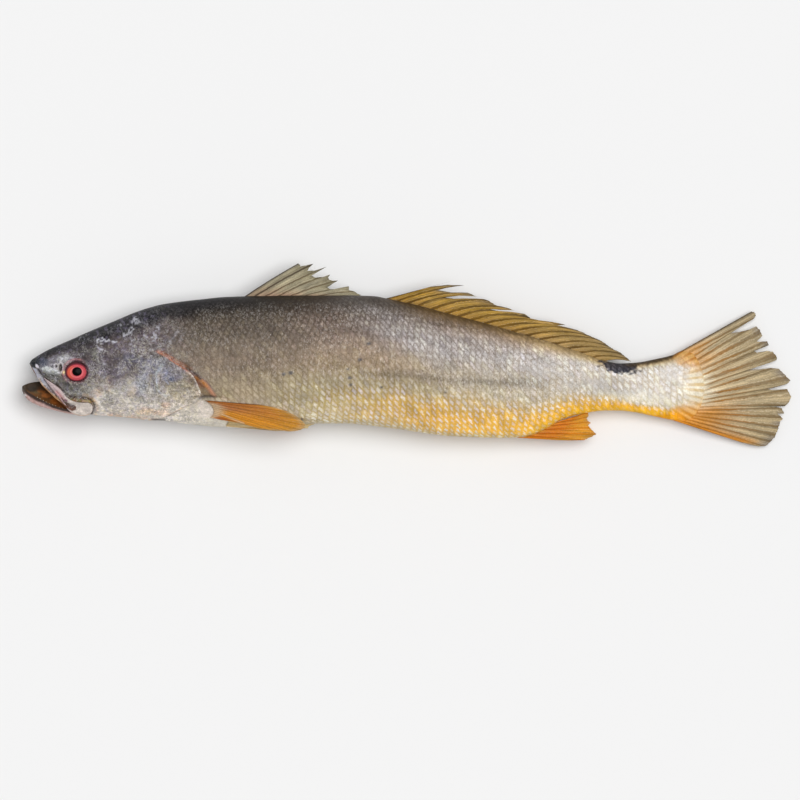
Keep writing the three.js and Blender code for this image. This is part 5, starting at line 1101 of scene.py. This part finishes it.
# ------------------------------------------------------------------------------ lower jaw
def jaw():
    rows = np.array(JAW)
    nx, ns = 90, 72
    q = np.linspace(0, 1, nx) ** 1.25
    xs = rows[0, 0] + (rows[-1, 0] - rows[0, 0]) * q
    left, right, chin, wid = (along(rows[:, [0, k]].tolist(), xs) for k in (1, 2, 3, 4))
    S = np.linspace(-1, 1, ns)
    X = np.broadcast_to(xs[:, None], (nx, ns))
    zc = along(MID_HEIGHT, xs)[:, None]
    wid, left, right, chin = (v[:, None] for v in (wid, left, right, chin))
    mid = (left + right) / 2
    tilt = S[None] * (left - right) / 2
    # the outer skin's lowest point is the chin line
    grid = np.linspace(-1, 1, 161)[None]
    half_tilt = (left - right) / 2
    lo_d, hi_d = np.zeros_like(mid), np.full_like(mid, 40.0)
    for _ in range(40):
        try_d = (lo_d + hi_d) / 2
        low = (mid + grid * half_tilt - try_d * (1 - np.abs(grid) ** 2.4)).min(1, keepdims=True)
        lo_d, hi_d = np.where(low > chin, try_d, lo_d), np.where(low > chin, hi_d, try_d)
    depth = np.maximum((lo_d + hi_d) / 2, 0.6)
    wall = np.minimum(1.9, wid * 0.5)
    lean = fbm(X / 6, S[None] * 3, 0, 150)
    outer_y = mid + tilt - depth * (1 - np.abs(S[None]) ** 2.4)
    outer = np.stack([X, outer_y, zc + S[None] * wid], -1)
    inner_depth = np.maximum(depth - wall, 0.25 * depth)
    inner_y = mid + tilt - inner_depth * (1 - np.abs(S[None]) ** 2.4)
    # tongue along the floor
    tongue = 1.6 * np.exp(-(S[None] / 0.42) ** 2) * smooth(-294, -286, X)
    inner_y = inner_y + tongue * smooth(-254, -258, X) + 0.5 * (lean - 0.5)
    # soft rounded rim
    inner = np.stack([X, inner_y, zc + S[None] * (wid - wall)], -1)
    rim = np.abs(S[None])
    outer[..., 1] += 0.35 * smooth(0.9, 1.0, rim)
    inner[..., 1] += 0.35 * smooth(0.9, 1.0, rim)
    # the chin closes at the front
    outer[0, :, 0] -= 0.0
    verts, quads = two_sided(inner, outer)
    k = np.ones((nx, ns, 3))
    s = np.broadcast_to(S[None], (nx, ns))
    IX, IY = inner[..., 0], inner[..., 1]
    blot = lambda px, py, rx, ry, layer: 1 - smooth(0.5, 1.3, np.hypot((IX - px) / rx, (IY - py) / ry) + 0.6 * (fbm(IX / 2.4, IY / 2.0, 0, layer) - 0.5))
    ci = over(rgb(110, 75, 45) * k, (135, 80, 40), smooth(-280, -272, IX))
    ci = over(ci, (105, 95, 65), 0.85 * blot(-288, -27.5, 5, 3, 153))
    ci = over(ci, (215, 125, 50), 0.9 * blot(-284.8, -27.6, 4.0, 2.8, 154))
    ci = over(ci, (200, 120, 60), 0.60 * blot(-281, -32.4, 3.6, 2.2, 155))
    ci = over(ci, (170, 95, 35), 0.75 * blot(-273.5, -36.5, 5, 3, 156))
    ci = over(ci, (35, 25, 20), 0.9 * blot(-293.2, -27.2, 3.2, 2.4, 157))
    ci = ci * (0.72 + 0.56 * fbm(X / 2.2, s * 5, 0, 151))[..., None]
    ci = over(ci, (50, 40, 30), 0.92 * smooth(0.52, 0.78, np.abs(s) + 0.12 * (fbm(X / 2, s * 5, 0, 159) - 0.5)))
    ci = over(ci, (70, 60, 50), 0.9 * smooth(-295.5, -299, X))
    co = over(rgb(205, 170, 165) * k, (190, 150, 140), smooth(0.35, 0.65, fbm(X / 4, s * 5, 0, 152)))
    co = over(co, (225, 175, 135), 0.7 * smooth(0.45, 0.15, s) * smooth(-0.6, -0.2, s))
    co = over(co, (45, 35, 30), 0.95 * smooth(0.78, 0.93, np.abs(s) + 0.10 * (fbm(X / 3, s * 4, 0, 158) - 0.5)))
    co = over(co, (85, 75, 65), 0.9 * smooth(-296, -299.6, X))
    # painted highlight on the chin
    d = np.hypot((X + 298.0) / 1.3, (outer[..., 1] + 32.2) / 1.2)
    co = over(co, (230, 225, 225), 0.8 * (1 - smooth(0.5, 1.2, d)))
    ci, co = np.clip(ci, 0, 0.9), np.clip(co, 0, 0.9)
    col = np.concatenate([ci.reshape(-1, 3), co.reshape(-1, 3)])
    faces4 = quads
    # small pointed teeth inside both rims
    tv, tf, tc = [], [], []
    rng = np.random.default_rng(5)
    for sgn in (1, -1):
        for j, u in enumerate(np.linspace(0.34, 0.74, 9)):
            i = int(u * (nx - 1))
            sz = 0.34 + 0.30 * rng.random()
            c = np.array([xs[i], outer[i, -1 if sgn > 0 else 0, 1] - 0.1, (zc[i, 0] + sgn * (wid[i, 0] - wall[i, 0] * 0.75))])
            o = len(verts) + len(tv) * 1
            ring = [c + sz * 0.55 * np.array([math.cos(p), 0.0, math.sin(p)]) for p in np.linspace(0, 2 * math.pi, 7)[:-1]]
            tip = c + np.array([0.35 * sz, 1.9 * sz, -0.5 * sgn * sz])
            root = c + np.array([0, -0.6 * sz, 0])
            start = len(verts) + len(tv)
            tv += ring + [tip, root]
            for p in range(6):
                tf.append([start + p, start + (p + 1) % 6, start + 6])
                tf.append([start + (p + 1) % 6, start + p, start + 7])
            tc += [rgb(225, 215, 190)] * 8
    verts = np.concatenate([verts, np.array(tv)])
    col = np.concatenate([col, np.array(tc)])
    make("fish_lower_jaw", verts, [(faces4, 4), (np.array(tf), 3)], {"skin": ("FLOAT_COLOR", col)}, JAW_MAT, "lower_jaw")


jaw()


# ------------------------------------------------------------------------------ eyes
def eye(side, name):
    nu, nv = 96, 48
    p = np.linspace(0, np.pi, nv)[1:-1]
    a = np.linspace(0, 2 * np.pi, nu, endpoint=False)
    P, A = np.meshgrid(p, a, indexing="ij")
    ux, uy, uz = np.sin(P) * np.cos(A), np.sin(P) * np.sin(A), np.cos(P)
    yc, hh, w, zc = section(np.array(EYE["x"]))
    z0 = zc + side * w * bulge((EYE["y"] - yc) / hh) - side * (EYE["rz"] - EYE["stands"])
    # the cornea stands a little over the pupil
    lift = 1 + 0.05 * np.exp(-(P / 0.5) ** 2)
    pts = np.stack([EYE["x"] + EYE["rx"] * ux, EYE["y"] + EYE["ry"] * uy, z0 + side * EYE["rz"] * uz * lift], -1).reshape(-1, 3)
    top = [EYE["x"], EYE["y"], z0 + side * EYE["rz"] * 1.05]
    bot = [EYE["x"], EYE["y"], z0 - side * EYE["rz"]]
    verts = np.concatenate([pts, [top, bot]])
    idx = np.arange(len(p) * nu).reshape(len(p), nu)
    nx = np.roll(idx, -1, 1)
    q = np.stack([idx[:-1].ravel(), idx[1:].ravel(), nx[1:].ravel(), nx[:-1].ravel()], 1)
    t = np.concatenate([np.stack([np.full(nu, len(pts)), idx[0], nx[0]], 1), np.stack([np.full(nu, len(pts) + 1), nx[-1], idx[-1]], 1)])
    qq, tt = outward(verts, q, t)
    iris = np.concatenate([np.stack([ux, uy, uz], -1).reshape(-1, 3), [[0, 0, 1], [0, 0, -1]]])
    r = np.hypot(iris[:, 0], iris[:, 1])
    iris[iris[:, 2] < 0, :2] *= (1.6 / np.maximum(r[iris[:, 2] < 0], 0.2))[:, None]
    make(name, verts, [(qq, 4), (tt, 3)], {"iris": ("FLOAT_VECTOR", iris)}, EYE_MAT, ("left" if side > 0 else "right") + "_eye")


eye(1, "fish_left_eye")
eye(-1, "fish_right_eye")


# ------------------------------------------------------------------------------ fins
def fin(name, node, material, rays, edge_rows, height, colour, nv=48, sink=3.0, bend=None, thick=(1.3, 0.45), ridge=0.35, web=0.25, fray=0.0, seed=1):
    """One fin: rays gives the base at whole u, edge_rows the free edge; both sides and the rim are closed."""
    base = np.asarray([r[:2] for r in rays], float)
    nr = len(base)
    rows = np.asarray(edge_rows, float)
    us = np.unique(np.round(np.concatenate([np.arange(0, nr - 1 + 1e-6, 0.1), rows[:, 0]]), 4))
    us = us[(us >= 0) & (us <= nr - 1)]
    bx, by = (np.interp(us, np.arange(nr), base[:, k]) for k in (0, 1))
    ex, ey = (np.interp(us, rows[:, 0], rows[:, k]) for k in (1, 2))
    rng = np.random.default_rng(seed)
    jit = 1 - fray * rng.random(len(us)) ** 2
    ex, ey = bx + (ex - bx) * jit, by + (ey - by) * jit
    v = np.linspace(0, 1, nv)
    L = np.maximum(np.hypot(ex - bx, ey - by), 1e-3)
    dirx, diry = (ex - bx) / L, (ey - by) / L
    sx, sy = bx - dirx * sink, by - diry * sink
    X = sx[:, None] + (ex - sx)[:, None] * v
    Y = sy[:, None] + (ey - sy)[:, None] * v
    if bend is not None:
        sag = np.interp(us, *bend)[:, None] * v * (1 - v)
        X, Y = X - sag * (ey - sy)[:, None], Y + sag * (ex - sx)[:, None]
    U = np.broadcast_to(us[:, None], X.shape)
    V = np.broadcast_to(v, X.shape)
    near_ray = np.abs(U - np.round(U)) * 2
    half = (thick[0] * (1 - V) + thick[1] * V) / 2 * (1 - 0.45 * near_ray * smooth(0.05, 0.3, V))
    half = half + ridge * np.exp(-(near_ray / 0.28) ** 2) * (1 - 0.72 * V)
    half = half * (1 - 0.75 * smooth(0.93, 1.0, V))
    fine = 0.10 * np.sin(U * 2 * np.pi * 3) * smooth(0.2, 0.7, V)
    wave = web * (noise(U * 0.8, V * 2.5, 0, seed) - 0.5) * 2 + web * 0.8 * (1 - near_ray) * (np.mod(np.round(U), 2) - 0.5) * smooth(0.1, 0.7, V)
    Z = height(X, Y, V, U) + wave * smooth(0.0, 0.35, V)
    top, bot = Z + half + fine, Z - half + fine
    floor_gap = np.maximum(0.06 - bot, 0)
    bot, top = bot + floor_gap, np.maximum(top + floor_gap, bot + floor_gap + 0.12)
    verts, q = two_sided(np.stack([X, Y, top], -1), np.stack([X, Y, bot], -1))
    col, ray = colour(X, Y, U, V)
    edge = smooth(0.86, 1.0, V) * np.ones(X.shape)
    both = lambda a: np.concatenate([np.asarray(a).reshape(X.size, -1)] * 2)
    return make(name, verts, [(q, 4)], {"skin": ("FLOAT_COLOR", both(np.clip(col, 0, 0.93))), "ray": ("FLOAT_COLOR", both(np.clip(ray, 0, 0.93))),
                                        "fin": ("FLOAT_VECTOR", both(np.stack([U, V, edge], -1)))}, material, node)


def upright(droop):
    return lambda x, y, v, u: along(MID_HEIGHT, x) - droop * v * v


def patchy(c, U, V, layer, su=2.4, sv=3.2, k=0.34):
    return c * (1 + k * (2 * fbm(U * su, V * sv, 0, layer) - 1))[..., None]


def tail_colour(X, Y, U, V):
    c = over(tone((225, 205, 165), X), (210, 190, 150), smooth(0.15, 0.5, V))
    c = over(c, (200, 180, 140), smooth(0.5, 0.9, V))
    low = smooth(10.5, 15.5, U)
    c = over(c, (215, 160, 80), 0.55 * low * smooth(0.75, 0.15, V))
    c = over(c, (220, 160, 80), 0.85 * smooth(0.48, 0.08, V) * smooth(6.5, 3.0, U))
    c = over(c, (230, 160, 60), 0.92 * smooth(0.55, 0.15, V) * smooth(11.5, 15.0, U))
    c = over(c, (235, 155, 25), 0.95 * smooth(17.6, 19.6, U) * smooth(1.0, 0.80, V))
    c = over(c, (240, 230, 205), 0.85 * smooth(0.26, 0.08, V + 0.12 * (fbm(U * 2, V * 3, 0, 202) - 0.5)) * np.exp(-((U - 8.5) / 4.2) ** 2))
    c = over(c, (145, 135, 125), 0.75 * smooth(0.86, 1.0, V) * smooth(0.35, 0.6, noise(U * 1.7, V * 4, 0, 201)))
    r = over(tone((165, 110, 35), X), (130, 105, 65), smooth(0.35, 0.75, V))
    r = over(r, (170, 105, 30), 0.6 * low * smooth(0.9, 0.4, V))
    r = over(r, (230, 210, 170), 0.92 * smooth(0.24, 0.04, V + 0.14 * (fbm(U * 3, V * 3, 0, 205) - 0.5)) * np.exp(-((U - 8.5) / 4.6) ** 2))
    r = over(r, (205, 150, 80), 0.80 * smooth(0.34, 0.04, V) * smooth(7.0, 3.5, U))
    r = over(r, (210, 140, 40), 0.88 * smooth(0.40, 0.06, V) * smooth(11.5, 15.0, U))
    # painted light: the base of the tail made lighter against the shade of the body beside it
    c, r = (k * (1 + 0.16 * smooth(0.20, 0.02, V))[..., None] for k in (c, r))
    r = over(r, (215, 135, 15), 0.9 * smooth(18.2, 19.6, U) * smooth(1.0, 0.7, V))
    for k in (c, r):
        k[...] = over(k, (80, 65, 45), 0.75 * smooth(0.55, 0.1, U))
    return patchy(c, U, V, 200), patchy(r, U, V, 203)


def dorsal1_colour(X, Y, U, V):
    c = over(tone((175, 150, 120), X), (180, 170, 140), smooth(0.1, 0.5, V))
    c = over(c, (190, 140, 120), 0.55 * smooth(0.28, 0.0, V) * smooth(0.5, 2.5, U))
    c = over(c, (150, 140, 105), 0.5 * smooth(0.75, 1.0, V))
    r = over(tone((105, 85, 65), X), (120, 105, 75), smooth(0.3, 0.9, V))
    dark = np.clip(smooth(0.42, 0.05, U) + 0.8 * np.exp(-((U - 1.0) / 0.16) ** 2), 0, 1)
    for k in (c, r):
        k[...] = over(k, (60, 50, 45), 0.85 * dark)
        k[...] = over(k, (85, 70, 60), 0.55 * smooth(0.10, 0.0, V))
    return patchy(c, U, V, 210, 3.0, 3.5, 0.4), patchy(r, U, V, 211, 3.0, 3.5, 0.4)


def dorsal2_colour(X, Y, U, V):
    c = over(tone((180, 135, 40), X), (190, 150, 60), smooth(0.1, 0.45, V))
    c = over(c, (180, 145, 80), 0.8 * smooth(0.55, 0.95, V))
    c = over(c, (190, 175, 140), 0.6 * smooth(0.84, 1.0, V) * smooth(0.4, 0.6, noise(U * 2, V * 3, 0, 221)))
    r = over(tone((95, 65, 10), X), (95, 75, 40), smooth(0.2, 0.8, V))
    rear = smooth(8.5, 13.5, U)
    c = over(c, (185, 165, 125), 0.35 * rear)
    for k in (c, r):
        k[...] = over(k, (80, 60, 30), 0.85 * smooth(0.15, 0.02, V + 0.10 * (fbm(U * 4, V, 0, 222) - 0.5)))
        k[...] = over(k, (90, 70, 40), 0.65 * smooth(0.35, 0.05, U))
    return patchy(c, U, V, 220, 3.0, 3.5, 0.45), patchy(r, U, V, 223, 3.0, 3.5, 0.4)


def anal_colour(X, Y, U, V):
    c = over(tone((225, 135, 5), X), (225, 160, 30), smooth(0.3, 0.8, V))
    c = over(c, (235, 165, 30), 0.8 * smooth(0.16, 0.02, V))
    c = over(c, (205, 175, 120), 0.5 * smooth(0.90, 1.0, V) * smooth(0.4, 0.6, noise(U * 2, V * 3, 0, 231)))
    r = over(tone((205, 105, 5), X), (215, 130, 15), smooth(0.3, 0.9, V))
    return patchy(c, U, V, 230, 3.0, 3.5, 0.3), patchy(r, U, V, 232, 3.0, 3.5, 0.3)


def pectoral_colour(X, Y, U, V):
    way = U + 2.2 * V
    c = over(tone((190, 115, 45), X), (205, 135, 55), smooth(1.0, 3.5, way))
    c = over(c, (240, 165, 45), smooth(3.0, 6.0, way))
    c = over(c, (190, 120, 80), 0.6 * np.exp(-((U - 2.6) / 1.3) ** 2) * smooth(0.55, 0.15, V))
    c = over(c, (225, 165, 60), 0.6 * smooth(0.65, 0.92, V))
    c = over(c, (215, 195, 150), 0.55 * smooth(0.90, 1.0, V))
    c = over(c, (190, 110, 65), 0.75 * smooth(7.2, 8.6, U) * smooth(0.95, 0.5, V))
    base = smooth(0.20, 0.05, V + 0.10 * (fbm(U * 1.5, V * 4, 0, 243) - 0.5)) * smooth(0.8, 2.4, U)
    c = over(c, (225, 200, 165), 0.85 * base)
    r = mix(c * np.array([0.80, 0.70, 0.50]), c * 0.95, base)
    for k in (c, r):
        k[...] = over(k, (120, 75, 35), 0.75 * smooth(0.55, 0.0, U))
        d, _ = to_line(X, Y, [(-144.3,-46.8),(-136.5,-50.3),(-127.1,-54.2)])
        k[...] = over(k, (235, 205, 160), 0.85 * np.exp(-(d / 0.7) ** 2))
    return patchy(c, U, V, 240, 2.5, 3.0, 0.28), patchy(r, U, V, 241, 2.5, 3.0, 0.28)


def pelvic_colour(X, Y, U, V):
    c = over(tone((205, 175, 125), X), (150, 130, 80), smooth(0.45, 0.9, V))
    c = over(c, (240, 215, 160), 0.8)
    return patchy(c, U, V, 250, 2.5, 3.0, 0.34), patchy(c * 0.84, U, V, 251, 2.5, 3.0, 0.34)


def along_flank(side, ease, off):
    def f(x, y, v, u):
        yc, a, w, zc = section(x)
        h = np.clip(((y - yc) / a) * (1 - ease * np.minimum(1, 1.6 * v)), -0.97, 0.97)
        return zc + side * (w * bulge(h) + off)
    return f


def pointed(rays):
    """Free edge of a fin that has only its ray tips and the notches between them."""
    rows = []
    for i, r in enumerate(rays):
        rows.append([i, r[2], r[3]])
        if len(r) > 4:
            rows.append([i + 0.5, r[4], r[5]])
    return rows


on_table = lambda x, y, v, u: np.maximum(along(MID_HEIGHT, x) + 0.5 * np.sin(u * 0.95) * v, 0.95)

TAIL_MAT = fin_material("fish_tail", 0.10, 0.88, 0.27, 3.0, 0.62)
D1_MAT = fin_material("fish_first_dorsal", 0.20, 0.86, 0.17, 3.0, 0.50)
D2_MAT = fin_material("fish_second_dorsal", 0.45, 0.92, 0.24, 3.0, 0.65)
ANAL_MAT = fin_material("fish_anal", 0.05, 0.96, 0.20, 3.0, 0.7)
PEC_MAT = fin_material("fish_pectoral", 0.0, 1.0, 0.20, 3.0, 0.7)

fin("fish_tail_fin", "tail_fin", TAIL_MAT, TAIL, TAIL_EDGE, on_table, tail_colour, nv=64, sink=5.0, thick=(2.2, 0.5), ridge=0.5, web=0.45, fray=0.012, seed=7)
fin("fish_first_dorsal_fin", "first_dorsal_fin", D1_MAT, DORSAL_1, DORSAL_1_EDGE, upright(3), dorsal1_colour, sink=3.0, bend=([0, 7], [0.05, 0.12]), thick=(1.3, 0.4), ridge=0.45, web=0.35, fray=0.015, seed=3)
fin("fish_second_dorsal_fin", "second_dorsal_fin", D2_MAT, DORSAL_2, DORSAL_2_EDGE, upright(2.5), dorsal2_colour, sink=3.0, bend=([0, 1, 3, 17], [0.0, 0.12, 0.30, 0.30]), thick=(1.3, 0.4), ridge=0.45, web=0.35, fray=0.02, seed=4)
fin("fish_anal_fin", "anal_fin", ANAL_MAT, ANAL, ANAL_EDGE, upright(2), anal_colour, sink=3.0, thick=(1.3, 0.4), ridge=0.35, web=0.3, fray=0.02, seed=6)
for sd, nm in ((1, "left"), (-1, "right")):
    fin(f"fish_{nm}_pectoral_fin", f"{nm}_pectoral_fin", PEC_MAT, PECTORAL, PECTORAL_EDGE, along_flank(sd, 0.14, 1.3), pectoral_colour, sink=1.5, thick=(1.3, 0.5), ridge=0.3, web=0.18, fray=0.008, seed=8 + sd)
    fin(f"fish_{nm}_pelvic_fin", f"{nm}_pelvic_fin", PEC_MAT, PELVIC, pointed(PELVIC), along_flank(sd, 0.05, 0.9), pelvic_colour, sink=1.5, thick=(1.2, 0.5), ridge=0.25, web=0.12, fray=0.01, seed=12 + sd)

# ------------------------------------------------------------------------------ floor, light and camera
scene = bpy.context.scene
bpy.ops.mesh.primitive_plane_add(size=40.0, location=(0, 0, -0.0003))
floor = bpy.context.object
floor.name = "floor"
g = Nodes("pale_floor")
n = g.skin((0.85, 0.85, 0.85), 0.9, spec=0.0)
floor.data.materials.append(g.mat)

world = bpy.data.worlds.new("studio")
scene.world = world
world.use_nodes = True
bg = world.node_tree.nodes["Background"]
bg.inputs["Color"].default_value = (1.0, 1.0, 1.0, 1.0)
# pale walls all round and a paler ceiling
wn = world.node_tree
direction = wn.nodes.new("ShaderNodeTexCoord")
parts = wn.nodes.new("ShaderNodeSeparateXYZ")
level = wn.nodes.new("ShaderNodeMapRange")
wn.links.new(direction.outputs["Generated"], parts.inputs[0])
wn.links.new(parts.outputs[2], level.inputs[0])
for socket, value in ((1, 0.0), (2, 1.0), (3, 0.34), (4, 0.30)):
    level.inputs[socket].default_value = value
wn.links.new(level.outputs[0], bg.inputs["Strength"])

sun = bpy.data.lights.new("key", "SUN")
sun.energy = 2.47
sun.angle = math.radians(44)
sun.color = (1.0, 1.0, 1.0)
so = bpy.data.objects.new("key", sun)
scene.collection.objects.link(so)
from mathutils import Vector
so.rotation_euler = Vector((-0.24, -0.13, -1.0)).to_track_quat("-Z", "Y").to_euler()

LENS = 600.0
cam = bpy.data.cameras.new("camera")
cam.lens = LENS
cam.sensor_width = 36.0
cam.clip_end = 50
co = bpy.data.objects.new("camera", cam)
scene.collection.objects.link(co)
co.location = ((-5.5 - SHIFT[0]) * 0.001, (-35.9 - SHIFT[1]) * 0.001, 0.028 + 0.624 * LENS / 36.0)
co.rotation_euler = (0, 0, 0)
scene.camera = co
scene.view_settings.view_transform = "Standard"
scene.view_settings.look = "None"
